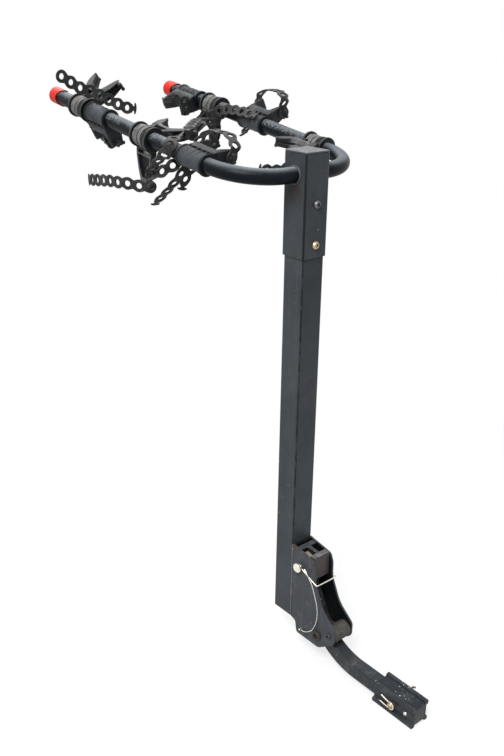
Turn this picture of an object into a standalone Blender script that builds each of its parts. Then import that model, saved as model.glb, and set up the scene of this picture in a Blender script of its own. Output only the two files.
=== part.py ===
"""Hitch bike rack: a square mast on a tilting shank, with a U-shaped pair of arms.

The origin is the centre of the shank's end face, the end that goes into a vehicle's
hitch receiver. +Y runs away from the vehicle, towards the tips of the arms, +Z is up,
and +X is the right-hand side for someone who looks from the vehicle along +Y.
"""

import math

import bmesh
import bpy
from mathutils import Matrix, Vector

MM = 0.001
GAP = 0.3 * MM                      # what touches keeps this much air

# Shank and hitch adapter
SHANK_SIDE = 31.75 * MM             # 1.25 inch bar
SHANK_CORNER = 2.5 * MM
SHANK_STRAIGHT = 178.0 * MM         # level run before the bend
SHANK_BEND_RADIUS = 152.0 * MM
SHANK_BEND_ANGLE = math.radians(64.0)
SHANK_RISE = 84.0 * MM              # straight run after the bend
ADAPTER_SIDE = 50.8 * MM            # 2 inch receiver
ADAPTER_LENGTH = 111.0 * MM
ADAPTER_RECESS = 6.0 * MM
HITCH_PIN_Y = 57.0 * MM
HITCH_PIN_RADIUS = 6.35 * MM
HITCH_PIN_REACH = 33.0 * MM
SET_SCREW_Y = 23.0 * MM

# Tilt joint
PIVOT_BEND_ANGLE = math.radians(43.7)   # where along the bend the pivot sits
PIVOT_RADIUS = 7.9 * MM
PIVOT_HEAD_RADIUS = 13.0 * MM
SPACER_RADIUS = 14.0 * MM
BRACKET_WALL = 5.0 * MM
BRACKET_HEIGHT = 196.0 * MM
ROLLER_RADIUS = 19.5 * MM
ROLLER_Y = -155.0 * MM              # from the mast's axis
ROLLER_Z = 18.0 * MM                # from the mast's foot
STOP_BOLT_RADIUS = 5.0 * MM
LOCK_PIN_RADIUS = 4.75 * MM
LOCK_PIN_Y = -56.0 * MM
LOCK_PIN_Z = 151.0 * MM
LOCK_PIN_TIP = 44.0 * MM
LOCK_PIN_HEAD_RADIUS = 11.0 * MM
BAIL_WIRE_RADIUS = 1.5 * MM
BAIL_REACH = 60.4 * MM
BAIL_DROP = math.radians(21.9)
HEAD_FRONT = -95.0 * MM
HEAD_BACK = -38.5 * MM
HEAD_BOTTOM = 131.0 * MM

# Mast
MAST_SIDE = 57.15 * MM              # 2.25 inch tube
MAST_WALL = 2.8 * MM
MAST_CORNER = 4.0 * MM
MAST_BEHIND_PIVOT = 119.0 * MM
MAST_FOOT_Z = 43.8 * MM
MAST_BELOW_ARM = 29.0 * MM          # the inner tube's top end
SLEEVE_SIDE = 63.5 * MM             # 2.5 inch tube
SLEEVE_CORNER = 5.0 * MM
SLEEVE_LENGTH = 204.0 * MM
SLEEVE_ABOVE_ARM = 40.7 * MM
CAP_PLATE = 4.0 * MM
CAP_PLUG = 12.0 * MM
SLEEVE_BOLTS_BELOW_ARM = {"upper": 56.0 * MM, "lower": 137.0 * MM}
SLEEVE_BOLT_RADIUS = 4.75 * MM

# Arms
ARM_RADIUS = 15.875 * MM            # 1.25 inch tube
ARM_WALL = 2.0 * MM
ARM_HEIGHT = 1019.0 * MM            # from the mast's foot
ARM_HALF_SPACING = 160.0 * MM
ARM_BEND_RADIUS = 106.5 * MM
ARM_LENGTH = 694.0 * MM             # mast axis to the end of the tube
ARM_TILT = math.radians(8.1)
END_CAP_WALL = 2.3 * MM
END_CAP_LENGTH = 47.0 * MM
END_CAP_SCALLOP = 21.0 * MM

# Cradles: distance along the arm, turn about the arm from up towards +X
BORE_CLEARANCE = 0.75 * MM
SADDLES = {
    "left_outer": (-1, ARM_LENGTH - 200.0 * MM, 158.0),
    "left_inner": (-1, ARM_BEND_RADIUS + 38.5 * MM, 78.0),
    "right_outer": (1, ARM_LENGTH - 100.0 * MM, 250.0),
    "right_inner": (1, ARM_LENGTH - 344.0 * MM, 60.0),
}
CAGES = {
    "left_outer": (-1, ARM_LENGTH - 127.0 * MM, 47.0),
    "left_inner": (-1, ARM_BEND_RADIUS + 210.5 * MM, 82.0),
    "right_outer": (1, ARM_LENGTH - 192.0 * MM, 201.0),
    "right_inner": (1, ARM_BEND_RADIUS + 32.5 * MM, 274.0),
}
SADDLE_LENGTH = 78.0 * MM
SADDLE_RADIUS = 20.0 * MM
SADDLE_RIM = 2.5 * MM
SADDLE_WIDTH = 40.0 * MM
HORN_HEIGHT = 62.0 * MM
HORN_THICKNESS = 7.0 * MM
COLLAR_LENGTH = 56.0 * MM
COLLAR_RADIUS = 20.5 * MM
COLLAR_RIB = 3.5 * MM
PRONG_HEIGHT = 89.0 * MM
PRONG_STEP = 8.0 * MM               # the outer prong's tip is this much lower
PRONG_SPREAD = 44.0 * MM
PRONG_WIDTH = 26.0 * MM
WISHBONE_ANGLE = math.radians(95.0)
WISHBONE_LENGTH = 97.0 * MM
WISHBONE_WIDTH = 16.0 * MM
WISHBONE_WEB = 2.4 * MM
POST_HEIGHT = 102.0 * MM            # the anti-sway strap's post
STUD_RADIUS = 5.8 * MM

# Straps
STRAP_PITCH = 26.0 * MM
STRAP_WIDTH = 27.0 * MM
STRAP_NECK = 14.0 * MM
STRAP_HOLE = 14.0 * MM
STRAP_THICKNESS = 3.0 * MM

# Lanyard
CABLE_RADIUS = 1.1 * MM

# Worked out from the sizes above
SHANK_HALF = SHANK_SIDE / 2
PIVOT_Y = SHANK_STRAIGHT + SHANK_BEND_RADIUS * math.sin(PIVOT_BEND_ANGLE)
PIVOT_Z = SHANK_BEND_RADIUS * (1 - math.cos(PIVOT_BEND_ANGLE))
MAST_Y = PIVOT_Y + MAST_BEHIND_PIVOT
MAST_HALF = MAST_SIDE / 2
MAST_LENGTH = ARM_HEIGHT - MAST_BELOW_ARM
SLEEVE_TOP = ARM_HEIGHT + SLEEVE_ABOVE_ARM
SLEEVE_HALF = SLEEVE_SIDE / 2
CHEEK_OUT = MAST_HALF
CHEEK_IN = CHEEK_OUT - BRACKET_WALL
WEB_BACK = -MAST_HALF - GAP
WEB_FRONT = WEB_BACK - BRACKET_WALL
ARM_Z = MAST_FOOT_Z + ARM_HEIGHT
BORE_RADIUS = ARM_RADIUS + BORE_CLEARANCE


def material(name, colour, roughness, metallic=0.0):
    """A Principled material with one colour."""
    made = bpy.data.materials.new(name)
    made.use_nodes = True
    shader = made.node_tree.nodes["Principled BSDF"]
    shader.inputs["Base Color"].default_value = (*colour, 1.0)
    shader.inputs["Roughness"].default_value = roughness
    shader.inputs["Metallic"].default_value = metallic
    made.diffuse_color = (*colour, 1.0)
    return made


def add_object(name, mesh, made_of, matrix=None, smooth_angle=35.0):
    """Link a bmesh as a new object with its own material."""
    bmesh.ops.recalc_face_normals(mesh, faces=mesh.faces[:])
    data = bpy.data.meshes.new(name)
    mesh.to_mesh(data)
    mesh.free()
    data.shade_smooth()
    data.set_sharp_from_angle(angle=math.radians(smooth_angle))
    data.materials.append(made_of)
    obj = bpy.data.objects.new(name, data)
    if matrix is not None:
        obj.matrix_world = matrix
    bpy.context.scene.collection.objects.link(obj)
    return obj


def add_tool(target, mesh, operation):
    """Join a shape to an object, or cut it out, with a Boolean modifier."""
    label = f"{target.name}_tool_{len(target.modifiers)}"
    tool = add_object(label, mesh, target.data.materials[0], target.matrix_world.copy())
    tool.hide_render = True
    tool.display_type = "WIRE"
    boolean = target.modifiers.new(operation.lower(), "BOOLEAN")
    boolean.operation = operation
    boolean.solver = "EXACT"
    boolean.object = tool


def join(target, mesh):
    add_tool(target, mesh, "UNION")


def cut(target, mesh):
    add_tool(target, mesh, "DIFFERENCE")


def place(axis, along, a, b):
    """A point from its distance along an axis and its two other coordinates."""
    return {"x": (along, a, b), "y": (a, along, b), "z": (a, b, along)}[axis]


def rounded(corners, step=20.0):
    """An outline from corners (a, b, radius), each radius drawn as an arc."""
    points = []
    count = len(corners)
    for i, (a, b, radius) in enumerate(corners):
        here = Vector((a, b))
        before = (Vector(corners[i - 1][:2]) - here).normalized()
        after = (Vector(corners[(i + 1) % count][:2]) - here).normalized()
        if radius <= 0:
            points.append(here)
            continue
        half = before.angle(after) / 2
        centre = here + (before + after).normalized() * (radius / math.sin(half))
        start = here + before * (radius / math.tan(half)) - centre
        end = here + after * (radius / math.tan(half)) - centre
        turn = start.angle_signed(end)
        pieces = max(1, round(abs(math.degrees(turn)) / step))
        for k in range(pieces + 1):
            angle = -turn * k / pieces
            spun = Matrix.Rotation(angle, 2) @ start
            points.append(centre + spun)
    return points


def rounded_square(side, corner):
    half = side / 2
    return rounded([(-half, -half, corner), (half, -half, corner),
                    (half, half, corner), (-half, half, corner)], step=30.0)


def prism(outline, low, high, axis="x"):
    """A closed outline pushed along one axis."""
    mesh = bmesh.new()
    near = [mesh.verts.new(place(axis, low, *point)) for point in outline]
    far = [mesh.verts.new(place(axis, high, *point)) for point in outline]
    mesh.faces.new(near[::-1])
    mesh.faces.new(far)
    for i in range(len(outline)):
        k = (i + 1) % len(outline)
        mesh.faces.new((near[i], near[k], far[k], far[i]))
    return mesh


def hollow_prism(outer, inner, low, high, axis="z"):
    """A tube between two outlines with the same number of points."""
    mesh = bmesh.new()
    loops = []
    for outline in (outer, inner):
        for along in (low, high):
            loops.append([mesh.verts.new(place(axis, along, *p)) for p in outline])
    out_low, out_high, in_low, in_high = loops
    for i in range(len(outer)):
        k = (i + 1) % len(outer)
        mesh.faces.new((out_low[i], out_low[k], out_high[k], out_high[i]))
        mesh.faces.new((in_low[k], in_low[i], in_high[i], in_high[k]))
        mesh.faces.new((out_low[k], out_low[i], in_low[i], in_low[k]))
        mesh.faces.new((out_high[i], out_high[k], in_high[k], in_high[i]))
    return mesh


def revolve(profile, segments=20, axis="y", centre=(0.0, 0.0), closed=False):
    """Turn (along, radius) points about a line parallel to an axis."""
    mesh = bmesh.new()
    rings = []
    for along, radius in profile:
        if radius == 0:
            rings.append([mesh.verts.new(place(axis, along, *centre))])
            continue
        ring = []
        for k in range(segments):
            angle = math.tau * k / segments
            a = centre[0] + radius * math.cos(angle)
            b = centre[1] + radius * math.sin(angle)
            ring.append(mesh.verts.new(place(axis, along, a, b)))
        rings.append(ring)
    pairs = list(zip(rings, rings[1:]))
    if closed:
        pairs.append((rings[-1], rings[0]))
    for one, two in pairs:
        for k in range(segments):
            n = (k + 1) % segments
            corners = [one[k % len(one)], one[n % len(one)],
                       two[n % len(two)], two[k % len(two)]]
            mesh.faces.new(list(dict.fromkeys(corners)))
    return mesh


def cylinder(radius, low, high, axis="y", centre=(0.0, 0.0), segments=16):
    profile = [(low, 0), (low, radius), (high, radius), (high, 0)]
    return revolve(profile, segments, axis, centre)


def ring(inner, outer, low, high, axis="x", centre=(0.0, 0.0), segments=20):
    profile = [(low, inner), (low, outer), (high, outer), (high, inner)]
    return revolve(profile, segments, axis, centre, closed=True)


def hex_nut(bore, across_flats, low, high, axis, centre):
    """A hexagonal ring; both outlines have 12 points."""
    outer = []
    inner = []
    for k in range(12):
        angle = math.tau * k / 12
        reach = across_flats / 2 / (math.cos(math.pi / 6) if k % 2 else 1.0)
        outer.append((centre[0] + reach * math.cos(angle), centre[1] + reach * math.sin(angle)))
        inner.append((centre[0] + bore * math.cos(angle), centre[1] + bore * math.sin(angle)))
    return hollow_prism(outer, inner, low, high, axis)


def socket_bolt(shaft, head, head_height, seat, tip, axis, centre, way):
    """A button-head bolt whose head lies outside its seat; way is +1 or -1 along the axis."""
    top = seat - way * head_height
    recess = top + way * head_height * 0.6
    profile = [(recess, 0), (recess, head * 0.42), (top, head * 0.5), (top, head * 0.72),
               (seat - way * head_height * 0.35, head), (seat, head), (seat, shaft),
               (tip, shaft), (tip, 0)]
    return revolve(profile, 12, axis, centre)


def smooth_route(points, step):
    """Points a step apart, read from a smooth curve through the given ones."""
    path = [Vector(p) for p in points]
    ends = [path[0] * 2 - path[1]] + path + [path[-1] * 2 - path[-2]]
    fine = []
    for i in range(1, len(ends) - 2):
        a, b, c, d = ends[i - 1:i + 3]
        for k in range(24):
            t = k / 24
            fine.append(0.5 * (2 * b + (c - a) * t + (2 * a - 5 * b + 4 * c - d) * t * t
                               + (3 * b - a - 3 * c + d) * t ** 3))
    fine.append(path[-1])
    length = sum((q - p).length for p, q in zip(fine, fine[1:]))
    count = max(2, round(length / step))
    picked = [fine[0]]
    travelled = 0.0
    for p, q in zip(fine, fine[1:]):
        stretch = (q - p).length
        while len(picked) < count and travelled + stretch >= len(picked) * length / count:
            share = (len(picked) * length / count - travelled) / stretch
            picked.append(p.lerp(q, share))
        travelled += stretch
    picked.append(fine[-1])
    return picked


def wire(name, points, radius, made_of, resolution=2, closed=False):
    """A round wire along points, as a curve with filled caps."""
    curve = bpy.data.curves.new(name, "CURVE")
    curve.dimensions = "3D"
    curve.bevel_depth = radius
    curve.bevel_resolution = resolution
    curve.use_fill_caps = True
    curve.materials.append(made_of)
    spline = curve.splines.new("POLY")
    spline.points.add(len(points) - 1)
    for target, point in zip(spline.points, points):
        target.co = (*point, 1.0)
    spline.use_cyclic_u = closed
    obj = bpy.data.objects.new(name, curve)
    bpy.context.scene.collection.objects.link(obj)
    return obj


def shank_side(offset, extra):
    """One long edge of the shank in Y and Z, a distance above (+) or below its centre line."""
    points = [(0.0, offset)]
    steps = 12
    for k in range(steps + 1):
        angle = SHANK_BEND_ANGLE * k / steps
        radius = SHANK_BEND_RADIUS - offset
        points.append((SHANK_STRAIGHT + radius * math.sin(angle),
                       SHANK_BEND_RADIUS - radius * math.cos(angle)))
    y, z = points[-1]
    rise = SHANK_RISE + extra
    points.append((y + rise * math.cos(SHANK_BEND_ANGLE), z + rise * math.sin(SHANK_BEND_ANGLE)))
    return points


def shank_outline(half, extra=0.0):
    return shank_side(half, extra) + shank_side(-half, extra)[::-1]


def build_shank(steel):
    mesh = prism(shank_outline(SHANK_HALF), -SHANK_HALF, SHANK_HALF)
    bar = add_object("shank_bar", mesh, steel)
    rounding = bar.modifiers.new("corners", "BEVEL")
    rounding.width = SHANK_CORNER
    rounding.segments = 2
    rounding.angle_limit = math.radians(50)
    reach = SHANK_SIDE
    cut(bar, cylinder(HITCH_PIN_RADIUS + GAP, -reach, reach, "x", (HITCH_PIN_Y, 0), 16))
    cut(bar, cylinder(PIVOT_RADIUS + GAP, -reach, reach, "x", (PIVOT_Y, PIVOT_Z), 20))


def adapter_outline():
    """Half the outline of the extrusion, then its mirror image; X and Z."""
    half = ADAPTER_SIDE / 2
    floor = half - ADAPTER_RECESS
    rib = 9.0 * MM
    edge = 1.5 * MM
    right = [(0.0, floor, 0), (half - rib - edge, floor, edge), (half - rib, half, edge),
             (half, half, edge), (half, half - rib, edge), (floor, half - rib - edge, edge),
             (floor, rib - half + edge, edge), (half, rib - half, edge), (half, -half, edge),
             (half - rib, -half, edge), (half - rib - edge, -floor, edge), (0.0, -floor, 0)]
    left = [(-x, z, r) for x, z, r in right[-2:0:-1]]
    return rounded(right + left, step=45.0)


def build_adapter(black, steel):
    adapter = add_object("hitch_adapter", prism(adapter_outline(), 0.0, ADAPTER_LENGTH, "y"), black)
    bore = SHANK_SIDE + 2 * GAP
    cut(adapter, prism(rounded_square(bore, SHANK_CORNER), -bore, ADAPTER_LENGTH + bore, "y"))
    cut(adapter, cylinder(HITCH_PIN_RADIUS + GAP, -ADAPTER_SIDE, ADAPTER_SIDE, "x", (HITCH_PIN_Y, 0)))
    boss = ADAPTER_SIDE / 2 - 4.2 * MM
    cut(adapter, cylinder(2.2 * MM, -5 * MM, 18 * MM, "y", (-boss, -boss), 10))
    wall = ADAPTER_SIDE / 2 - ADAPTER_RECESS
    screw = 2.5 * MM
    cut(adapter, cylinder(screw + GAP, -ADAPTER_SIDE, -SHANK_HALF, "x", (SET_SCREW_Y, -2 * MM), 10))
    seat = -wall - GAP
    mesh = socket_bolt(screw, 4.6 * MM, 3 * MM, seat, -SHANK_HALF - GAP, "x",
                       (SET_SCREW_Y, -2 * MM), 1)
    add_object("adapter_set_screw", mesh, steel)


def build_hitch_pin(brass, zinc):
    """The cross pin, with a bent wire handle at its right end, and its clip."""
    reach = HITCH_PIN_REACH
    centre = (HITCH_PIN_Y, 0.0)
    nose = 2.0 * MM
    profile = [(-reach, 0), (-reach, HITCH_PIN_RADIUS - nose), (nose - reach, HITCH_PIN_RADIUS),
               (reach - nose, HITCH_PIN_RADIUS), (reach, HITCH_PIN_RADIUS - nose), (reach, 0)]
    pin = add_object("hitch_pin", revolve(profile, 16, "x", centre), brass)
    handle = [(reach - 4 * MM, HITCH_PIN_Y, 0), (reach + 3 * MM, HITCH_PIN_Y, 1 * MM),
              (reach + 6 * MM, HITCH_PIN_Y, 6 * MM), (reach + 6 * MM, HITCH_PIN_Y - 3 * MM, 13 * MM),
              (reach + 5 * MM, HITCH_PIN_Y - 10 * MM, 18 * MM)]
    join(pin, tube(smooth_route(handle, 4 * MM), 2.4 * MM, 8))
    clip = []
    loop = HITCH_PIN_RADIUS + BAIL_WIRE_RADIUS + GAP
    x = -reach + 4 * MM
    for k in range(13):
        angle = math.radians(-60 - 20 * k)
        clip.append((x, HITCH_PIN_Y + loop * math.cos(angle), loop * math.sin(angle)))
    clip.append((x, HITCH_PIN_Y + 14 * MM, 9 * MM))
    clip.append((x, HITCH_PIN_Y + 26 * MM, 12 * MM))
    clip.insert(0, (x, HITCH_PIN_Y + 14 * MM, -7 * MM))
    clip.insert(0, (x, HITCH_PIN_Y + 28 * MM, -5 * MM))
    wire("hitch_pin_clip", clip, BAIL_WIRE_RADIUS, zinc)


def tube(points, radius, sides, wall=None):
    """A round bar along points, or a pipe with open ends if a wall is given."""
    mesh = bmesh.new()
    skins = []
    for size in ([radius] if wall is None else [radius, radius - wall]):
        across = (points[1] - points[0]).orthogonal().normalized()
        loops = []
        for i, point in enumerate(points):
            before = points[max(i - 1, 0)]
            after = points[min(i + 1, len(points) - 1)]
            along = (after - before).normalized()
            across = (across - along * across.dot(along)).normalized()
            other = along.cross(across)
            loops.append([mesh.verts.new(point + across * size * math.cos(math.tau * k / sides)
                                         + other * size * math.sin(math.tau * k / sides))
                          for k in range(sides)])
        for one, two in zip(loops, loops[1:]):
            for k in range(sides):
                n = (k + 1) % sides
                mesh.faces.new((one[k], one[n], two[n], two[k]))
        skins.append(loops)
    if wall is None:
        mesh.faces.new(skins[0][0][::-1])
        mesh.faces.new(skins[0][-1])
    else:
        for end in (0, -1):
            outer, inner = skins[0][end], skins[1][end]
            for k in range(sides):
                n = (k + 1) % sides
                mesh.faces.new((outer[k], outer[n], inner[n], inner[k]))
    return mesh


def from_mast(y, z):
    """Y and Z of a point given from the mast's axis and foot."""
    return (MAST_Y + y, MAST_FOOT_Z + z)


def bracket_outline():
    pivot_low = PIVOT_Z - MAST_FOOT_Z - 32.0 * MM
    corners = [(WEB_BACK, BRACKET_HEIGHT, 0), (-96 * MM, 185 * MM, 13 * MM),
               (-104 * MM, 165 * MM, 12 * MM), (-105 * MM, 128 * MM, 45 * MM),
               (-131 * MM, 72 * MM, 70 * MM), (ROLLER_Y - 19 * MM, ROLLER_Z + 20 * MM, 14 * MM),
               (ROLLER_Y - 19 * MM, ROLLER_Z - 14 * MM, 22 * MM),
               (-124 * MM, pivot_low, 24 * MM), (-50 * MM, pivot_low, 8 * MM),
               (-45 * MM, -6 * MM, 5 * MM), (WEB_BACK, 0.0, 0)]
    return rounded([(*from_mast(y, z), r) for y, z, r in corners], step=18.0)


def build_bracket(paint):
    bracket = add_object("tilt_bracket", prism(bracket_outline(), -CHEEK_OUT, CHEEK_OUT), paint)
    front, back = from_mast(-0.3, 0)[0], from_mast(WEB_FRONT, 0)[0]
    low, high = from_mast(0, -0.1)[1], from_mast(0, 0.3)[1]
    cut(bracket, prism([(front, low), (back, low), (back, high), (front, high)], -CHEEK_IN, CHEEK_IN))
    holes = [(PIVOT_RADIUS + GAP, PIVOT_Y, PIVOT_Z),
             (STOP_BOLT_RADIUS + GAP, *from_mast(ROLLER_Y, ROLLER_Z)),
             (LOCK_PIN_RADIUS + GAP, *from_mast(LOCK_PIN_Y, LOCK_PIN_Z))]
    for radius, y, z in holes:
        cut(bracket, cylinder(radius, -2 * CHEEK_OUT, 2 * CHEEK_OUT, "x", (y, z)))
    y, z = from_mast(-66 * MM, -16 * MM)
    cut(bracket, cylinder(3 * MM, -2 * CHEEK_OUT, 0, "x", (y, z), 10))


def build_shank_head(paint, pale):
    """The block on the bar's upper end: an H from above, with a pocket on each side."""
    width = CHEEK_IN - GAP
    corners = [(HEAD_BACK, BRACKET_HEIGHT - 4 * MM, 1 * MM),
               (HEAD_FRONT, BRACKET_HEIGHT - 7 * MM, 2 * MM), (HEAD_FRONT, HEAD_BOTTOM, 2 * MM),
               (HEAD_BACK, HEAD_BOTTOM - 19 * MM, 1 * MM)]
    outline = rounded([(*from_mast(y, z), r) for y, z, r in corners], step=45.0)
    head = add_object("shank_head", prism(outline, -width, width), paint)
    socket = SHANK_HALF + GAP
    cut(head, prism(shank_outline(socket, GAP), -socket, socket))
    bar_front, bar_back, web = 14.0 * MM, 13.0 * MM, 4.5 * MM
    floor = 172.0 * MM
    pocket = [from_mast(HEAD_FRONT + bar_front, floor), from_mast(HEAD_BACK - bar_back, floor),
              from_mast(HEAD_BACK - bar_back, 0.3), from_mast(HEAD_FRONT + bar_front, 0.3)]
    for side in (-1, 1):
        cut(head, prism(pocket, side * web, side * 2 * width))
    # The pin's hole is open to the back, so that the head clears the pin in every tilt.
    y, z = from_mast(LOCK_PIN_Y, LOCK_PIN_Z)
    hole = LOCK_PIN_RADIUS + GAP
    cut(head, cylinder(hole, -2 * width, 2 * width, "x", (y, z)))
    slot = []
    for edge, angles in ((hole, (0, -4, -8, -12)), (-hole, (-12, -8, -4, 0))):
        for degrees in angles:
            arm = Vector((y - PIVOT_Y, z - PIVOT_Z))
            arm = arm * ((arm.length + edge) / arm.length)
            spun = Matrix.Rotation(math.radians(degrees), 2) @ arm
            slot.append((PIVOT_Y + spun.x, PIVOT_Z + spun.y))
    cut(head, prism(slot, -2 * width, 2 * width))
    for side, name in ((-1, "left"), (1, "right")):
        low, high = sorted((side * (web + GAP), side * (web + 12 * MM)))
        block = [from_mast(HEAD_FRONT + bar_front + 8 * MM, floor + GAP),
                 from_mast(HEAD_BACK - bar_back - 2 * MM, floor + GAP),
                 from_mast(HEAD_BACK - bar_back - 2 * MM, floor + 10 * MM),
                 from_mast(HEAD_FRONT + bar_front + 8 * MM, floor + 7 * MM)]
        add_object(f"head_wedge_{name}", prism(block, low, high), pale)


def build_pivot(paint, rusty, worn, steel):
    centre = (PIVOT_Y, PIVOT_Z)
    seat = CHEEK_OUT + GAP
    mesh = socket_bolt(PIVOT_RADIUS, PIVOT_HEAD_RADIUS, 6 * MM, -seat, seat + 11 * MM, "x", centre, 1)
    add_object("pivot_bolt", mesh, rusty)
    add_object("pivot_nut", hex_nut(PIVOT_RADIUS + GAP, 23.8 * MM, seat, seat + 10 * MM, "x", centre),
               rusty)
    low, high = SHANK_HALF + GAP, CHEEK_IN - GAP
    bore = PIVOT_RADIUS + GAP
    add_object("pivot_spacer_left", ring(bore, SPACER_RADIUS, -high, -low, "x", centre), worn)
    add_object("pivot_spacer_right", ring(bore, SPACER_RADIUS, low, high, "x", centre), worn)
    centre = from_mast(ROLLER_Y, ROLLER_Z)
    add_object("stop_roller", ring(STOP_BOLT_RADIUS + GAP, ROLLER_RADIUS, -high, high, "x", centre, 24),
               worn)
    mesh = socket_bolt(STOP_BOLT_RADIUS, 8 * MM, 4 * MM, -seat, seat + 9 * MM, "x", centre, 1)
    add_object("stop_bolt", mesh, steel)
    add_object("stop_nut", hex_nut(STOP_BOLT_RADIUS + GAP, 15.9 * MM, seat, seat + 8 * MM, "x", centre),
               steel)


def bail_point(x, out, turn=0.0):
    """A point at a distance from the lock pin's axis, in the bail's plane."""
    angle = BAIL_DROP + turn
    y, z = from_mast(LOCK_PIN_Y, LOCK_PIN_Z)
    return (x, y - out * math.cos(angle), z - out * math.sin(angle))


def build_lock_pin(zinc):
    centre = from_mast(LOCK_PIN_Y, LOCK_PIN_Z)
    coil = LOCK_PIN_RADIUS + GAP + BAIL_WIRE_RADIUS
    coil_x = CHEEK_OUT + GAP + BAIL_WIRE_RADIUS
    pitch = 2.1 * BAIL_WIRE_RADIUS
    head = coil_x + 1.25 * pitch + BAIL_WIRE_RADIUS + GAP
    profile = [(-head - 6 * MM, 0), (-head - 6 * MM, LOCK_PIN_HEAD_RADIUS - 2 * MM),
               (-head - 4 * MM, LOCK_PIN_HEAD_RADIUS), (-head, LOCK_PIN_HEAD_RADIUS),
               (-head, LOCK_PIN_RADIUS), (LOCK_PIN_TIP - 3 * MM, LOCK_PIN_RADIUS),
               (LOCK_PIN_TIP, LOCK_PIN_RADIUS - 2.5 * MM), (LOCK_PIN_TIP, 0)]
    add_object("lock_pin", revolve(profile, 20, "x", centre), zinc)
    # The bail is one wire: a coil on the left, a square loop, an open eye on the right.
    path = []
    steps = 20
    for k in range(steps):
        left = 1.25 * (steps - k) / steps
        path.append(bail_point(-coil_x - pitch * left, coil, math.tau * left))
    side = coil_x
    corner = 5 * MM
    bent = 1.5 * MM
    path += [bail_point(-side, coil), bail_point(-side, 20 * MM),
             bail_point(-side, BAIL_REACH - corner), bail_point(-side + bent, BAIL_REACH - bent),
             bail_point(-side + corner, BAIL_REACH), bail_point(side - corner, BAIL_REACH),
             bail_point(side - bent, BAIL_REACH - bent), bail_point(side, BAIL_REACH - corner),
             bail_point(side, 20 * MM)]
    for k in range(14):
        path.append(bail_point(side, coil, math.radians(23 * k)))
    wire("pin_bail_wire", path, BAIL_WIRE_RADIUS, zinc)


# The lanyard's route beside the left cheek: Y and Z from the mast's axis and foot, in mm
LANYARD_ROUTE = [(-84, 148), (-93, 139), (-101, 128), (-110, 105), (-118, 79), (-120, 55),
                 (-116, 30), (-106, 7), (-92, -7), (-78, -15), (-70, -15.5)]


def build_lanyard(zinc, cable, pale):
    outside = [6.3, 6.3, 6.0, 5.2, 4.2, 3.6, 3.2, 3.0, 3.0, 3.0, 3.0]
    route = [(-CHEEK_OUT - x * MM, *from_mast(y * MM, z * MM))
             for x, (y, z) in zip(outside, LANYARD_ROUTE)]
    wire("lanyard_cable", smooth_route(route, 6 * MM), CABLE_RADIUS, cable)
    top = Vector(route[0])
    way = (top - Vector(route[1])).normalized()
    ferrule = [top + way * GAP, top + way * 12 * MM]
    add_object("lanyard_ferrule", tube(ferrule, 2.4 * MM, 10), pale)
    anchor = cylinder(2.4 * MM, -CHEEK_OUT - 6 * MM, -CHEEK_IN + 2 * MM, "x",
                      from_mast(-66 * MM, -16 * MM), 10)
    add_object("lanyard_anchor", anchor, zinc)


def build_mast(paint, cap_plastic, dark_steel, brass_steel):
    frame = Matrix.Translation((0, MAST_Y, MAST_FOOT_Z))
    outer = rounded_square(MAST_SIDE, MAST_CORNER)
    inner = rounded_square(MAST_SIDE - 2 * MAST_WALL, MAST_CORNER - MAST_WALL / 2)
    mast = add_object("mast_tube", hollow_prism(outer, inner, 0.0, MAST_LENGTH), paint, frame)
    outer = rounded_square(SLEEVE_SIDE, SLEEVE_CORNER)
    inner = rounded_square(MAST_SIDE + 2 * GAP, MAST_CORNER)
    low = SLEEVE_TOP - SLEEVE_LENGTH
    sleeve = add_object("mast_sleeve", hollow_prism(outer, inner, low, SLEEVE_TOP), paint, frame)
    cut(sleeve, cylinder(ARM_RADIUS + GAP, -SLEEVE_SIDE, SLEEVE_SIDE, "x", (0, ARM_HEIGHT), 24))
    steels = {"upper": dark_steel, "lower": brass_steel}
    seat = SLEEVE_HALF + GAP
    for name, below in SLEEVE_BOLTS_BELOW_ARM.items():
        height = ARM_HEIGHT - below
        for body in (mast, sleeve):
            cut(body, cylinder(SLEEVE_BOLT_RADIUS + GAP, -SLEEVE_SIDE, SLEEVE_SIDE, "y", (0, height)))
        mesh = socket_bolt(SLEEVE_BOLT_RADIUS, 8.5 * MM, 5.5 * MM, -seat, seat + 9.5 * MM, "y",
                           (0, height), 1)
        add_object(f"sleeve_bolt_{name}", mesh, steels[name], frame)
        mesh = hex_nut(SLEEVE_BOLT_RADIUS + GAP, 14.3 * MM, seat, seat + 8 * MM, "y", (0, height))
        add_object(f"sleeve_nut_{name}", mesh, dark_steel, frame)
    base = SLEEVE_TOP + GAP
    plate = prism(rounded_square(SLEEVE_SIDE, SLEEVE_CORNER), base, base + CAP_PLATE, "z")
    cap = add_object("mast_top_cap", plate, cap_plastic, frame)
    rim = cap.modifiers.new("edge", "BEVEL")
    rim.width = 1.2 * MM
    rim.segments = 2
    rim.angle_limit = math.radians(60)
    join(cap, prism(rounded_square(MAST_SIDE, MAST_CORNER), base - CAP_PLUG, base + CAP_PLATE / 2, "z"))


def arm_frame(side, along, turn=0.0):
    """Axes of a cradle: X sideways, Y along the arm, Z the way its cradle points."""
    tilt = Matrix.Rotation(ARM_TILT, 4, "X")
    base = Matrix.Translation((side * ARM_HALF_SPACING, MAST_Y, ARM_Z))
    return base @ tilt @ Matrix.Translation((0, along, 0)) @ Matrix.Rotation(math.radians(turn), 4, "Y")


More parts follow.
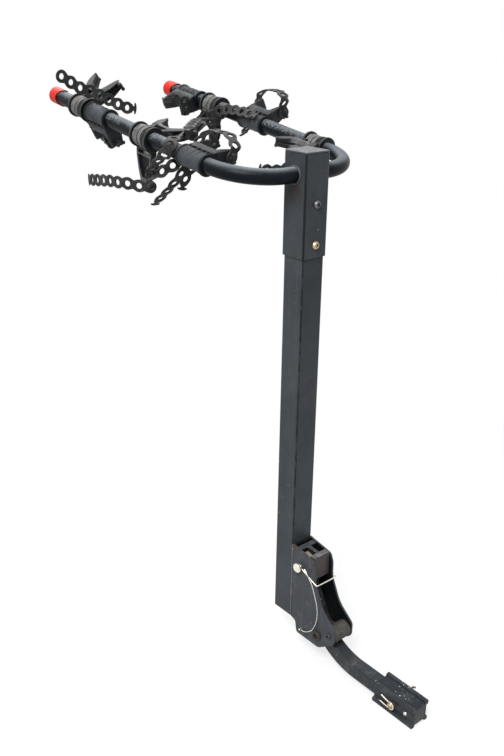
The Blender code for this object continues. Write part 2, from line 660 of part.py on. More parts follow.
def build_arms(paint, red):
    tilt = Matrix.Rotation(ARM_TILT, 3, "X")
    origin = Vector((0, MAST_Y, ARM_Z))
    w, r = ARM_HALF_SPACING, ARM_BEND_RADIUS
    half = [Vector((0, 0, 0)), Vector((w - r, 0, 0))]
    bends = 9
    for k in range(1, bends + 1):
        angle = math.pi / 2 * k / bends
        half.append(Vector((w - r + r * math.sin(angle), r - r * math.cos(angle), 0)))
    half.append(Vector((w, ARM_LENGTH, 0)))
    flat = [Vector((-p.x, p.y, p.z)) for p in half[:0:-1]] + half[1:]
    path = [origin + tilt @ p for p in flat]
    add_object("arm_bar", tube(path, ARM_RADIUS, 16, ARM_WALL), paint)
    for side, name in ((-1, "left"), (1, "right")):
        frame = arm_frame(side, ARM_LENGTH)
        inner = ARM_RADIUS + GAP * 1.5
        outer = inner + END_CAP_WALL
        profile = [(GAP, 0), (GAP, inner), (-END_CAP_LENGTH, inner), (-END_CAP_LENGTH, outer),
                   (-1 * MM, outer), (GAP + 2 * MM, outer - 2.5 * MM),
                   (GAP + END_CAP_WALL + 1 * MM, outer - 7 * MM), (GAP + END_CAP_WALL + 1.5 * MM, 0)]
        cap = add_object(f"arm_cap_{name}", revolve(profile, 24, "y"), red, frame)
        scoop = cylinder(END_CAP_SCALLOP, -2 * outer, 2 * outer, "x",
                         (-END_CAP_LENGTH - 2 * MM, 0), 20)
        cut(cap, scoop)


# Where a strap's ring sits on a cradle, in the cradle's own frame
SADDLE_POST = (0.0, -SADDLE_LENGTH / 2 - 4.5 * MM, HORN_HEIGHT - 8.0 * MM)
SADDLE_HOOK = (0.0, SADDLE_LENGTH / 2 + 2.0 * MM, HORN_HEIGHT - 6.0 * MM)
CAGE_POST = (0.0, -PRONG_SPREAD - 5.5 * MM, PRONG_HEIGHT - 7.0 * MM)
BUTTON_POST = (0.0, -13.5 * MM, POST_HEIGHT)


def t_post(spot, root):
    """A strap's post with a cross bar at its end; it grows from a root along the arm."""
    bar = spot[1] - 6.8 * MM
    return [cylinder(STUD_RADIUS, bar, root, "y", (0, spot[2]), 12),
            cylinder(3.8 * MM, -10.5 * MM, 10.5 * MM, "x", (bar, spot[2]), 10)]


def saddle_mesh_parts():
    """A saddle's shapes in its own frame: the body, what joins it, and its bore."""
    half = SADDLE_LENGTH / 2
    rim = 5 * MM
    wide = SADDLE_RADIUS + SADDLE_RIM
    body = revolve([(-half, 0), (-half, wide), (rim - half, wide), (rim - half + 1 * MM, SADDLE_RADIUS),
                    (half - rim - 1 * MM, SADDLE_RADIUS), (half - rim, wide), (half, wide), (half, 0)], 16)
    t = HORN_THICKNESS
    top = HORN_HEIGHT
    end = half - 1 * MM
    trough = rounded([(-end, 14 * MM, 0), (-end, top, 2 * MM), (t - end, top, 2 * MM),
                      (t - end + 3 * MM, 27 * MM, 12 * MM), (end - t - 3 * MM, 27 * MM, 12 * MM),
                      (end - t, top, 2 * MM), (end, top, 2 * MM), (end, 14 * MM, 0)], step=30.0)
    joined = [prism(trough, -SADDLE_WIDTH / 2, SADDLE_WIDTH / 2)]
    wing = SADDLE_WIDTH / 2 - 1 * MM
    gusset = [(-wing, 16 * MM), (wing, 16 * MM), (16 * MM, 1 * MM), (-16 * MM, 1 * MM)]
    for along in (-22 * MM, 0.0, 22 * MM):
        joined.append(prism(gusset, along - 2 * MM, along + 2 * MM, "y"))
    joined += t_post(SADDLE_POST, 2 * MM - half)
    hook = SADDLE_HOOK[1] + 4.5 * MM
    joined.append(cylinder(3.6 * MM, half - 3 * MM, hook, "y", (0, SADDLE_HOOK[2]), 8))
    joined.append(cylinder(2.2 * MM, -11 * MM, 11 * MM, "x", (hook, SADDLE_HOOK[2]), 8))
    return body, joined, cylinder(BORE_RADIUS, -2 * half, 2 * half, "y", segments=16)


def prong_outline(top, foot):
    """One prong of a cage's V, from its middle to the collar."""
    spread = PRONG_SPREAD
    return [(19 * MM, 50 * MM, 8 * MM), (spread - 7 * MM, top - 3 * MM, 2 * MM),
            (spread, top + 3 * MM, 2 * MM), (spread + 4 * MM, top - 4 * MM, 2 * MM),
            (spread - 1 * MM, 58 * MM, 25 * MM), (foot, 27 * MM, 12 * MM), (foot, 14.3 * MM, 0)]


def cage_mesh_parts(hand):
    """A cage's shapes: ribbed collar, V cradle, wishbone and posts. hand mirrors the wishbone."""
    half = COLLAR_LENGTH / 2
    rib = COLLAR_RADIUS + COLLAR_RIB
    flange = rib + 2 * MM
    profile = [(-half, 0), (-half, flange), (5 * MM - half, flange), (7 * MM - half, COLLAR_RADIUS)]
    for along in (-5 * MM, 5 * MM):
        profile += [(along - 3 * MM, COLLAR_RADIUS), (along - 1.5 * MM, rib), (along + 1.5 * MM, rib),
                    (along + 3 * MM, COLLAR_RADIUS)]
    profile += [(half - 7 * MM, COLLAR_RADIUS), (half - 5 * MM, flange), (half, flange), (half, 0)]
    body = revolve(profile, 16)

    spread, top = PRONG_SPREAD, PRONG_HEIGHT
    foot = half - 1.3 * MM
    low = top - PRONG_STEP
    cradle = [(0, 47 * MM, 0), *prong_outline(low, foot),
              *[(-s, n, r) for s, n, r in prong_outline(top, foot)[::-1]]]
    cradle = rounded(cradle, step=35.0)
    joined = [prism(cradle, -PRONG_WIDTH / 2, PRONG_WIDTH / 2)]
    knob = revolve([(-11 * MM, 0), (-11 * MM, 3 * MM), (-6 * MM, 3.6 * MM), (6 * MM, 3.6 * MM),
                    (11 * MM, 3 * MM), (11 * MM, 0)], 8, "x", (spread - 1 * MM, low))
    joined.append(knob)
    joined += t_post(CAGE_POST, 3 * MM - spread)

    end = WISHBONE_LENGTH
    leg = [(half - 2 * MM, 15.1 * MM, 0), (half - 2 * MM, 40 * MM, 30 * MM), (19 * MM, 70 * MM, 40 * MM),
           (9 * MM, end, 0)]
    outline = rounded(leg + [(-s, n, r) for s, n, r in leg[::-1]], step=30.0)
    limb = prism(outline, -WISHBONE_WIDTH / 2, WISHBONE_WIDTH / 2)
    lug = cylinder(8.5 * MM, -9 * MM, 3 * MM, "y", (0, POST_HEIGHT), 12)
    stud = cylinder(STUD_RADIUS, -18 * MM, -8 * MM, "y", (0, POST_HEIGHT), 12)
    turn = Matrix.Rotation(hand * WISHBONE_ANGLE, 4, "Y")
    for shape in (limb, lug, stud):
        bmesh.ops.transform(shape, matrix=turn, verts=shape.verts[:])
        joined.append(shape)
    recess = rounded([(16 * MM, 38 * MM, 2 * MM), (11 * MM, 66 * MM, 20 * MM), (4 * MM, 82 * MM, 2 * MM),
                      (-4 * MM, 82 * MM, 2 * MM), (-11 * MM, 66 * MM, 20 * MM),
                      (-16 * MM, 38 * MM, 2 * MM)], step=45.0)
    opening = rounded([(18 * MM, 27.5 * MM, 2 * MM), (16.3 * MM, 35 * MM, 2 * MM),
                       (-16.3 * MM, 35 * MM, 2 * MM), (-18 * MM, 27.5 * MM, 2 * MM)], step=45.0)
    hollows = [prism(opening, -WISHBONE_WIDTH, WISHBONE_WIDTH),
               prism(recess, WISHBONE_WEB / 2, WISHBONE_WIDTH),
               prism(recess, -WISHBONE_WIDTH, -WISHBONE_WEB / 2)]
    for hollow in hollows:
        bmesh.ops.transform(hollow, matrix=turn, verts=hollow.verts[:])
    slot = rounded([(12 * MM, 27.5 * MM, 2 * MM), (19 * MM, 39 * MM, 2 * MM),
                    (-19 * MM, 39 * MM, 2 * MM), (-12 * MM, 27.5 * MM, 2 * MM)], step=45.0)
    slot = prism(slot, -PRONG_WIDTH, PRONG_WIDTH)
    cuts = [*hollows, slot, cylinder(BORE_RADIUS, -2 * half, 2 * half, "y", segments=16)]
    return body, joined, cuts


def build_cradles(plastic, rubber, steel):
    for name, (side, along, turn) in SADDLES.items():
        body, joined, bore = saddle_mesh_parts()
        saddle = add_object(f"saddle_{name}", body, plastic, arm_frame(side, along, turn))
        for shape in joined:
            join(saddle, shape)
        cut(saddle, bore)
    for name, (side, along, turn) in CAGES.items():
        hand = -side
        body, joined, cuts = cage_mesh_parts(hand)
        frame = arm_frame(side, along, turn)
        cage = add_object(f"cage_{name}", body, rubber, frame)
        for shape in joined:
            join(cage, shape)
        for shape in cuts:
            cut(cage, shape)
        start = -18 * MM - GAP
        disc = revolve([(start - 1.5 * MM, 0), (start - 1.5 * MM, 3 * MM), (start - 4 * MM, 4 * MM),
                        (start - 4 * MM, 11 * MM), (start - 2 * MM, 12.5 * MM), (start, 12.5 * MM),
                        (start, 0)], 12, "y", (0, POST_HEIGHT))
        turned = Matrix.Rotation(hand * WISHBONE_ANGLE, 4, "Y")
        bmesh.ops.transform(disc, matrix=turned, verts=disc.verts[:])
        add_object(f"cage_button_{name}", disc, rubber, frame)


class Route:
    """A strap's middle line, with the direction of its width along the way."""

    def __init__(self, points, widths):
        self.fine = []
        path = [Vector(p) for p in points]
        ends = [path[0] * 2 - path[1]] + path + [path[-1] * 2 - path[-2]]
        hints = [Vector(w).normalized() for w in widths]
        for i in range(1, len(ends) - 2):
            a, b, c, d = ends[i - 1:i + 3]
            for k in range(16):
                t = k / 16
                spot = 0.5 * (2 * b + (c - a) * t + (2 * a - 5 * b + 4 * c - d) * t * t
                              + (3 * b - a - 3 * c + d) * t ** 3)
                self.fine.append((spot, hints[i - 1].lerp(hints[i], t)))
        self.fine.append((path[-1], hints[-1]))
        self.marks = [0.0]
        for (p, _), (q, _) in zip(self.fine, self.fine[1:]):
            self.marks.append(self.marks[-1] + (q - p).length)

    def at(self, distance):
        """Position, width direction and face direction at a distance from the start."""
        i = 0
        while i < len(self.marks) - 2 and self.marks[i + 1] < distance:
            i += 1
        (p, w), (q, v) = self.fine[i], self.fine[i + 1]
        share = (distance - self.marks[i]) / (self.marks[i + 1] - self.marks[i])
        spot = p + (q - p) * share
        along = (q - p).normalized()
        width = w.lerp(v, min(max(share, 0.0), 1.0))
        width = (width - along * width.dot(along)).normalized()
        return spot, width, along.cross(width)


def strap_mesh(points, widths, holes, start):
    """A perforated strap: a ring at the start, a row of holes, and a T-shaped end."""
    route = Route(points, widths)
    mesh = bmesh.new()
    half = STRAP_THICKNESS / 2
    known = {}

    def corner(u, v, level):
        key = (round(u / MM, 3), round(v / MM, 3), level)
        if key not in known:
            spot, width, face = route.at(start + u)
            known[key] = mesh.verts.new(spot + width * v + face * half * level)
        return known[key]

    def wall(a, b):
        mesh.faces.new((corner(*a, 1), corner(*b, 1), corner(*b, -1), corner(*a, -1)))

    def panel(spots):
        mesh.faces.new([corner(*s, 1) for s in spots])
        mesh.faces.new([corner(*s, -1) for s in spots[::-1]])

    middle, neck, full = STRAP_PITCH / 2, STRAP_NECK / 2, STRAP_WIDTH / 2
    hole = STRAP_HOLE / 2
    turns = [math.tau * (n + 0.5) / 8 for n in range(8)]
    for k in range(holes):
        at = k * STRAP_PITCH
        back = (-middle, neck) if k else (-full + 1 * MM, full * 0.4)
        rim = [(middle, neck), (full * 0.38, full), (-full * 0.38, full), back]
        rim += [(u, -v) for u, v in rim[::-1]]
        rim = [(at + u, v) for u, v in rim]
        eye = [(at + hole * math.cos(turn), hole * math.sin(turn)) for turn in turns]
        for n in range(8):
            m = (n + 1) % 8
            panel([rim[n], rim[m], eye[m], eye[n]])
            wall(eye[n], eye[m])
            inside = n == 7 or (n == 3 and k > 0)
            if not inside:
                wall(rim[m], rim[n])
    end = (holes - 1) * STRAP_PITCH + middle
    stations = [(end, neck), (end + 5 * MM, 4.5 * MM), (end + 8 * MM, full * 0.9),
                (end + 11.5 * MM, full * 0.8)]
    for (u, v), (p, q) in zip(stations, stations[1:]):
        panel([(u, -v), (p, -q), (p, q), (u, v)])
        wall((u, v), (p, q))
        wall((p, -q), (u, -v))
    u, v = stations[-1]
    wall((u, v), (u, -v))
    return mesh


POSTS = {"saddle": SADDLE_POST, "hook": SADDLE_HOOK, "cage": CAGE_POST, "button": BUTTON_POST}


def post_of(kind, name, post):
    """The world place of a strap's post, and the direction of its axis."""
    where = SADDLES[name] if kind == "saddle" else CAGES[name]
    turn = -where[0] * WISHBONE_ANGLE if post == "button" else 0.0
    frame = arm_frame(*where) @ Matrix.Rotation(turn, 4, "Y")
    return frame @ Vector(POSTS[post]), frame.to_3x3() @ Vector((0, 1, 0))


# A strap: the cradle that it goes with, its post there, its number of holes, and its route in
# mm after the post, from the middle of that cradle's bore, each point with the direction of
# the strap's width. A route without a post starts at a ring.
UP, ACROSS = (0, 0, 1), (1, 0, 0)
STRAPS = {
    "left_outer_saddle": ("saddle", "left_outer", None, 8, [
        ((-95, -7.1, 86.6), (0.5, 0, 0.87)), ((-53, -3.1, 62.6), (0.45, 0, 0.89)),
        ((-31, -1.6, 55.6), (0.4, 0, 0.9)), ((-5, 0.3, 45.1), (0.4, 0, 0.9)),
        ((22, 1.9, 32.6), (0.4, 0, 0.9)), ((50, 3.9, 20.1), (0.35, 0, 0.94)),
        ((74, 4.9, 11.6), (0.2, 0, 0.98)), ((110, 4.9, 7.6), (0, 0, 1))]),
    "left_inner_wishbone": ("cage", "left_inner", "button", 8, [
        ((-26, 21.1, -97.5), UP), ((-36, 36.1, -95.5), UP), ((-41.6, 59.1, -96.5), UP),
        ((-43.6, 86.1, -97.9), UP), ((-43, 139.7, -104.5), UP), ((-35, 196.1, -112.5), UP)]),
    "right_outer_cage": ("cage", "right_outer", "cage", 11, [
        ((-38.3, -41, -43.6), ACROSS), ((-48, -39, -24.5), (0.9, -0.4, 0)),
        ((-100, -69.8, -16.5), (0.6, -0.8, 0)), ((-140, -104.6, -17.5), (0.65, -0.75, 0)),
        ((-180, -143.2, -20.5), (0.7, -0.7, 0)), ((-205, -175.9, -16.8), (0.7, -0.7, 0))]),
    "left_inner_cage": ("cage", "left_inner", "cage", 12, [
        ((48, -51.9, 4.5), (0.3, -0.5, 0.7)), ((10, -88.9, 9.5), (0.7, -0.7, 0)),
        ((-18, -113.9, 4.5), (0.6, -0.7, -0.3)), ((-32, -110.9, -17.5), (0.6, -0.3, -0.5)),
        ((-33, -90.8, -31.6), (0.9, -0.2, 0)), ((-33, -59.9, -57.5), (1, 0, 0)),
        ((-28, -51.9, -67.5), (1, 0, 0.3)), ((-16, -65.9, -61.5), (0.7, -0.2, 0.5)),
        ((-1, -86.9, -47.5), (0.5, -0.6, 0.4)), ((21, -96.9, -35.5), (0.3, -0.8, 0.3))]),
    "left_inner_saddle": ("saddle", "left_inner", "saddle", 13, [
        ((60, -45.6, 26.8), ACROSS), ((65, -22.6, 44.8), ACROSS), ((65, 8.3, 47.8), ACROSS),
        ((66, 36.4, 47.8), ACROSS), ((64, 64.4, 32.8), ACROSS), ((55, 79.4, 6.8), ACROSS),
        ((40, 84.4, -22.2), ACROSS), ((26, 90.4, -45.2), ACROSS), ((15, 113.4, -74.9), ACROSS),
        ((10, 135.9, -95.3), ACROSS), ((0, 174.3, -132.3), ACROSS)]),
    "left_inner_short": ("saddle", "left_inner", "hook", 4, [
        ((38, 48.4, -13.2), ACROSS), ((19, 56.4, -39.2), ACROSS), ((9, 68.4, -79.2), ACROSS)]),
    "right_inner_saddle": ("saddle", "right_inner", "saddle", 11, [
        ((36, -58.5, 53.9), ACROSS), ((45, -36.5, 64.9), ACROSS), ((53, -8.5, 66.9), ACROSS),
        ((58, 19.5, 65.9), ACROSS), ((61, 48.5, 57.9), (1, 0, 0.1)), ((62, 62.5, 37.9), (1, 0.2, 0.1)),
        ((52, 63.5, 12.9), (0.8, 0.5, 0.2)), ((34, 55.5, -10.1), (0.5, 0.8, 0)),
        ((10, 45.5, -24.1), (0.2, 0.9, 0)), ((-8, 33.5, -36.1), (0.3, 1, 0)),
        ((-20, 19.5, -60.1), (0.5, 0.8, 0))]),
    "right_outer_saddle": ("saddle", "right_outer", "saddle", 4, [
        ((-58, -43.1, 5.5), ACROSS), ((-60, -28.1, 13.5), ACROSS), ((-60, -6.1, 8.5), ACROSS),
        ((-60, 15.9, -10.5), ACROSS), ((-60, 41.9, -34.5), ACROSS)]),
    "right_inner_loose": ("saddle", "right_inner", None, 6, [
        ((-33, 119.7, 2.8), (-0.39, 0, 0.92)), ((-28, 106.5, 12.9), (-0.1, 0, 1)),
        ((-25, 83.5, 19.9), (0.35, 0, 0.93)), ((-23, 49.9, 22.9), (0.62, 0, 0.79)),
        ((-21, 4.1, 20.9), (0.72, 0, 0.7)), ((-20, -27.2, 17.9), (0.8, 0, 0.6))]),
    "right_inner_cage": ("cage", "right_inner", "cage", 5, [
        ((-108, -45.6, -22.4), UP), ((-140, -37.6, -31.4), UP), ((-175, -36.6, -28.4), UP),
        ((-215, -42.6, -20.4), UP)]),
}


def build_straps(rubber):
    for name, (kind, cradle, post, holes, stops) in STRAPS.items():
        side, along, _ = (SADDLES if kind == "saddle" else CAGES)[cradle]
        origin = arm_frame(side, along).translation
        points = [origin + Vector(spot) * MM for spot, _ in stops]
        widths = [Vector(width) for _, width in stops]
        if post:
            centre, axis = post_of(kind, cradle, post)
            way = points[0] - centre
            way = (way - axis * way.dot(axis)).normalized()
            flat = axis.cross(way)
            if flat.dot(widths[0]) < 0:
                flat = -flat
            points = [centre - way * 14 * MM, centre, centre + way * 14 * MM] + points
            widths = [flat, flat, flat] + widths
        start = 14 * MM if post else 0.0
        mesh = strap_mesh(points, widths, holes, start)
        add_object(f"strap_{name}", mesh, rubber, smooth_angle=50.0)


def build():
    for obj in list(bpy.data.objects):
        bpy.data.objects.remove(obj, do_unlink=True)
    paint = material("charcoal_powder_coat", (0.035, 0.042, 0.052), 0.42, 0.3)
    worn = material("worn_steel", (0.16, 0.14, 0.12), 0.6, 0.7)
    rusty = material("rusty_steel", (0.12, 0.09, 0.075), 0.6, 0.7)
    steel = material("dark_steel", (0.07, 0.07, 0.075), 0.4, 0.9)
    brassy = material("brassy_zinc", (0.42, 0.34, 0.2), 0.35, 0.9)
    zinc = material("pale_zinc", (0.72, 0.7, 0.63), 0.35, 0.9)
    cable = material("steel_cable", (0.6, 0.6, 0.6), 0.4, 0.9)
    pale = material("pale_plastic", (0.6, 0.6, 0.6), 0.5)
    black = material("black_extrusion", (0.03, 0.03, 0.033), 0.4, 0.4)
    cap_plastic = material("cap_plastic", (0.1, 0.1, 0.105), 0.35)
    red = material("red_cap_plastic", (0.85, 0.06, 0.02), 0.45)
    plastic = material("cradle_plastic", (0.02, 0.022, 0.025), 0.5)
    rubber = material("cage_rubber", (0.022, 0.023, 0.026), 0.55)
    strap_rubber = material("strap_rubber", (0.035, 0.035, 0.036), 0.65)
    build_shank(paint)
    build_adapter(black, steel)
    build_hitch_pin(brassy, zinc)
    build_bracket(paint)
    build_shank_head(paint, pale)
    build_pivot(paint, rusty, worn, steel)
    build_lock_pin(zinc)
    build_lanyard(zinc, cable, pale)
    build_mast(paint, cap_plastic, steel, brassy)
    build_arms(paint, red)
    build_cradles(plastic, rubber, steel)
    build_straps(strap_rubber)


build()
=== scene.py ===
"""The looks of the hitch bike rack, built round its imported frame.

Sizes are in mm and the scene in metres; +Z up the mast, +Y from the vehicle towards the arms'
tips and +X to the right.
"""

import math

import bmesh
import bpy
from mathutils import Matrix, Vector


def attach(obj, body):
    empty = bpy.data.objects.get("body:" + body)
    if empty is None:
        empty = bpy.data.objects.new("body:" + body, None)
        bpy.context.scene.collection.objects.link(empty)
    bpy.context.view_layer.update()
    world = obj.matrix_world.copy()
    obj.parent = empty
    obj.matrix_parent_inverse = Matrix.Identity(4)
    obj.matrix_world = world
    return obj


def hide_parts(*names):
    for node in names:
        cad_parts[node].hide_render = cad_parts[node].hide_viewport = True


MM = 0.001
GAP = 0.3
EDGE_STEPS = 3
SIDES = ((-1, "left"), (1, "right"))
SKY_LOW, SKY_HIGH = 0.1, 0.85

# Shank and hitch adapter
SHANK_HALF = 15.875
SHANK_STRAIGHT = 178.0
SHANK_BEND_RADIUS = 152.0
SHANK_BEND_ANGLE = math.radians(64.0)
SHANK_RISE = 84.0
ADAPTER_HALF = 25.4
ADAPTER_LENGTH = 111.0
ADAPTER_RECESS = 6.0
HITCH_PIN_Y = 57.0
HITCH_PIN_RADIUS = 6.35
SET_SCREW_Y = 23.0

# Tilt joint
PIVOT_BEND_ANGLE = math.radians(43.7)
PIVOT_Y = SHANK_STRAIGHT + SHANK_BEND_RADIUS * math.sin(PIVOT_BEND_ANGLE)
PIVOT_Z = SHANK_BEND_RADIUS * (1 - math.cos(PIVOT_BEND_ANGLE))
PIVOT_RADIUS = 7.9
BRACKET_WALL = 5.0
BRACKET_HEIGHT = 196.0
ROLLER_RADIUS = 19.5
ROLLER_Y = -155.0
ROLLER_Z = 18.0
LOCK_PIN_RADIUS = 4.75
LOCK_PIN_Y = -56.0
LOCK_PIN_Z = 151.0
BAIL_WIRE = 1.5
BAIL_REACH = 60.4
BAIL_DROP = math.radians(21.9)
HEAD_FRONT = -95.0
HEAD_BACK = -38.5
HEAD_BOTTOM = 131.0

# Mast and arms
MAST_Y = PIVOT_Y + 119.0
MAST_FOOT = 43.8
MAST_HALF = 28.575
MAST_LENGTH = 990.0
SLEEVE_HALF = 31.75
SLEEVE_TOP = 1059.7
SLEEVE_LENGTH = 204.0
ARM_RADIUS = 15.875
ARM_HEIGHT = 1019.0
ARM_Z = MAST_FOOT + ARM_HEIGHT
ARM_HALF_SPACING = 160.0
ARM_BEND_RADIUS = 106.5
ARM_LENGTH = 694.0
ARM_TILT = math.radians(8.1)
END_CAP_WALL = 2.3
END_CAP_LENGTH = 47.0
END_CAP_SCALLOP = 21.0
CHEEK_OUT = MAST_HALF
POCKET_FRONT = HEAD_FRONT + 14.0
POCKET_BACK = HEAD_BACK - 13.0
POCKET_FLOOR = 172.0
HEAD_WEB = 4.5
CHEEK_IN = CHEEK_OUT - BRACKET_WALL
WEB_BACK = -MAST_HALF - GAP

# Cradles: side, distance along the arm, turn about the arm from up towards +X
BORE_RADIUS = ARM_RADIUS + 0.75
SADDLES = {
    "left_outer": (-1, ARM_LENGTH - 200.0, 158.0),
    "left_inner": (-1, ARM_BEND_RADIUS + 38.5, 78.0),
    "right_outer": (1, ARM_LENGTH - 100.0, 250.0),
    "right_inner": (1, ARM_LENGTH - 344.0, 60.0),
}
CAGES = {
    "left_outer": (-1, ARM_LENGTH - 127.0, 47.0),
    "left_inner": (-1, ARM_BEND_RADIUS + 210.5, 82.0),
    "right_outer": (1, ARM_LENGTH - 192.0, 201.0),
    "right_inner": (1, ARM_BEND_RADIUS + 32.5, 274.0),
}
SADDLE_LENGTH = 78.0
SADDLE_RADIUS = 20.0
SADDLE_RIM = 2.5
SADDLE_WIDTH = 40.0
FIN_PITCH = 15.0
HORN_HEIGHT = 62.0
HORN_THICKNESS = 7.0
COLLAR_LENGTH = 56.0
COLLAR_RADIUS = 20.5
COLLAR_RIB = 3.5
PRONG_HEIGHT = 89.0
PRONG_STEP = 8.0
PRONG_SPREAD = 44.0
PRONG_WIDTH = 26.0
TIP_SHARE = 0.64
WISHBONE_ANGLE = math.radians(95.0)
WISHBONE_LENGTH = 97.0
WISHBONE_WIDTH = 16.0
POST_HEIGHT = 102.0
STUD_RADIUS = 5.8

# Straps and lanyard
STRAP_PITCH = 26.0
STRAP_WIDTH = 27.0
STRAP_NECK = 18.5
STRAP_HOLE = 12.8
STRAP_THICKNESS = 3.0
POST_REACH = 14.0
# The strap's end past its last ring: distance along and half width
MUSHROOM = [(2.2, 6.0), (4.6, 4.8), (5.8, 5.2), (6.3, 8.6), (6.6, 11.8), (7.8, 12.8), (9.4, 11.6),
            (10.7, 8.8), (11.6, 5.0), (11.9, 2.5)]
POSTS = {
    "saddle": (0.0, -SADDLE_LENGTH / 2 - 4.5, HORN_HEIGHT - 8.0),
    "hook": (0.0, SADDLE_LENGTH / 2 + 2.0, HORN_HEIGHT - 6.0),
    "cage": (0.0, -PRONG_SPREAD - 5.5, PRONG_HEIGHT - 7.0),
    "button": (0.0, -13.5, POST_HEIGHT),
}
CABLE_RADIUS = 1.1
# Beside the left cheek: how far out, and Y and Z from the mast's axis and foot, in mm
LANYARD_OUTSIDE = [6.3, 6.3, 6.0, 5.2, 4.2, 3.6, 3.2, 3.0, 3.0, 3.0, 3.0]
LANYARD_ROUTE = [(-84, 148), (-93, 139), (-101, 128), (-110, 105), (-118, 79), (-120, 55),
                 (-116, 30), (-106, 7), (-92, -7), (-78, -15), (-70, -15.5)]

# A strap: the cradle that it goes with, its post there, its number of holes, and its route in
# mm after the post, from the middle of that cradle's bore, each point with the direction of
# the strap's width. A route without a post starts at a ring.
UP, ACROSS = (0, 0, 1), (1, 0, 0)
STRAPS = {
    "left_outer_saddle": ("saddle", "left_outer", None, 8, [
        ((-95, -7.1, 86.6), (0.5, 0, 0.87)), ((-53, -3.1, 62.6), (0.45, 0, 0.89)),
        ((-31, -1.6, 55.6), (0.4, 0, 0.9)), ((-5, 0.3, 45.1), (0.4, 0, 0.9)),
        ((22, 1.9, 32.6), (0.4, 0, 0.9)), ((50, 3.9, 20.1), (0.35, 0, 0.94)),
        ((74, 4.9, 11.6), (0.2, 0, 0.98)), ((110, 4.9, 7.6), (0, 0, 1))]),
    "left_inner_wishbone": ("cage", "left_inner", "button", 8, [
        ((-26, 21.1, -97.5), UP), ((-36, 36.1, -95.5), UP), ((-41.6, 59.1, -96.5), UP),
        ((-43.6, 86.1, -97.9), UP), ((-43, 139.7, -104.5), UP), ((-35, 196.1, -112.5), UP)]),
    "right_outer_cage": ("cage", "right_outer", "cage", 11, [
        ((-38.3, -41, -43.6), ACROSS), ((-48, -39, -24.5), (0.9, -0.4, 0)),
        ((-100, -69.8, -16.5), (0.6, -0.8, 0)), ((-140, -104.6, -17.5), (0.65, -0.75, 0)),
        ((-180, -143.2, -20.5), (0.7, -0.7, 0)), ((-205, -175.9, -16.8), (0.7, -0.7, 0))]),
    "left_inner_cage": ("cage", "left_inner", "cage", 12, [
        ((48, -51.9, 4.5), (0.3, -0.5, 0.7)), ((10, -88.9, 9.5), (0.7, -0.7, 0)),
        ((-18, -113.9, 4.5), (0.6, -0.7, -0.3)), ((-32, -110.9, -17.5), (0.6, -0.3, -0.5)),
        ((-33, -90.8, -31.6), (0.9, -0.2, 0)), ((-33, -59.9, -57.5), (1, 0, 0)),
        ((-28, -51.9, -67.5), (0.8, 0.3, 0.5)), ((-16, -65.9, -61.5), (0.2, 0.55, 0.8)),
        ((-1, -86.9, -47.5), (-0.05, 0.55, 0.8)), ((21, -96.9, -35.5), (-0.11, 0.55, 0.81))]),
    "left_inner_saddle": ("saddle", "left_inner", "saddle", 13, [
        ((60, -45.6, 26.8), ACROSS), ((65, -22.6, 44.8), ACROSS), ((65, 8.3, 47.8), ACROSS),
        ((66, 36.4, 47.8), ACROSS), ((64, 64.4, 32.8), ACROSS), ((55, 79.4, 6.8), ACROSS),
        ((40, 84.4, -22.2), ACROSS), ((26, 90.4, -45.2), ACROSS), ((15, 113.4, -74.9), ACROSS),
        ((10, 135.9, -95.3), ACROSS), ((0, 174.3, -132.3), ACROSS)]),
    "left_inner_short": ("saddle", "left_inner", "hook", 4, [
        ((38, 48.4, -13.2), ACROSS), ((19, 56.4, -39.2), ACROSS), ((9, 68.4, -79.2), ACROSS)]),
    "right_inner_saddle": ("saddle", "right_inner", "saddle", 11, [
        ((36, -58.5, 53.9), ACROSS), ((45, -36.5, 64.9), ACROSS), ((53, -8.5, 66.9), ACROSS),
        ((58, 19.5, 65.9), ACROSS), ((61, 48.5, 57.9), (1, 0, 0.1)), ((62, 62.5, 37.9), (1, 0.2, 0.1)),
        ((52, 63.5, 12.9), (0.8, 0.5, 0.2)), ((34, 55.5, -10.1), (0.5, 0.8, 0)),
        ((10, 45.5, -24.1), (0.2, 0.9, 0)), ((-8, 33.5, -36.1), (0.3, 1, 0)),
        ((-20, 19.5, -60.1), (0.5, 0.8, 0))]),
    "right_outer_saddle": ("saddle", "right_outer", "saddle", 4, [
        ((-58, -43.1, 5.5), ACROSS), ((-60, -28.1, 13.5), ACROSS), ((-60, -6.1, 8.5), ACROSS),
        ((-60, 15.9, -10.5), ACROSS), ((-60, 41.9, -34.5), ACROSS)]),
    "right_inner_loose": ("saddle", "right_inner", None, 6, [
        ((-33, 119.7, 2.8), (-0.39, 0, 0.92)), ((-28, 106.5, 12.9), (-0.1, 0, 1)),
        ((-25, 83.5, 19.9), (0.35, 0, 0.93)), ((-23, 49.9, 22.9), (0.62, 0, 0.79)),
        ((-21, 4.1, 20.9), (0.72, 0, 0.7)), ((-20, -27.2, 17.9), (0.8, 0, 0.6))]),
    "right_inner_cage": ("cage", "right_inner", "cage", 5, [
        ((-108, -45.6, -22.4), UP), ((-140, -37.6, -31.4), UP), ((-175, -36.6, -28.4), UP),
        ((-215, -42.6, -20.4), UP)]),
}

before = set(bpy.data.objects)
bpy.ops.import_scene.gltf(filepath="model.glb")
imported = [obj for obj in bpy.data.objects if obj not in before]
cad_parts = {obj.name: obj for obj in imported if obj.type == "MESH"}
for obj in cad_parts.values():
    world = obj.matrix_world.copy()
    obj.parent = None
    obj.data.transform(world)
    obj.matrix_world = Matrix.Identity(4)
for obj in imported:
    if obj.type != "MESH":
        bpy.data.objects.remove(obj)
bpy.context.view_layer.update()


# Materials


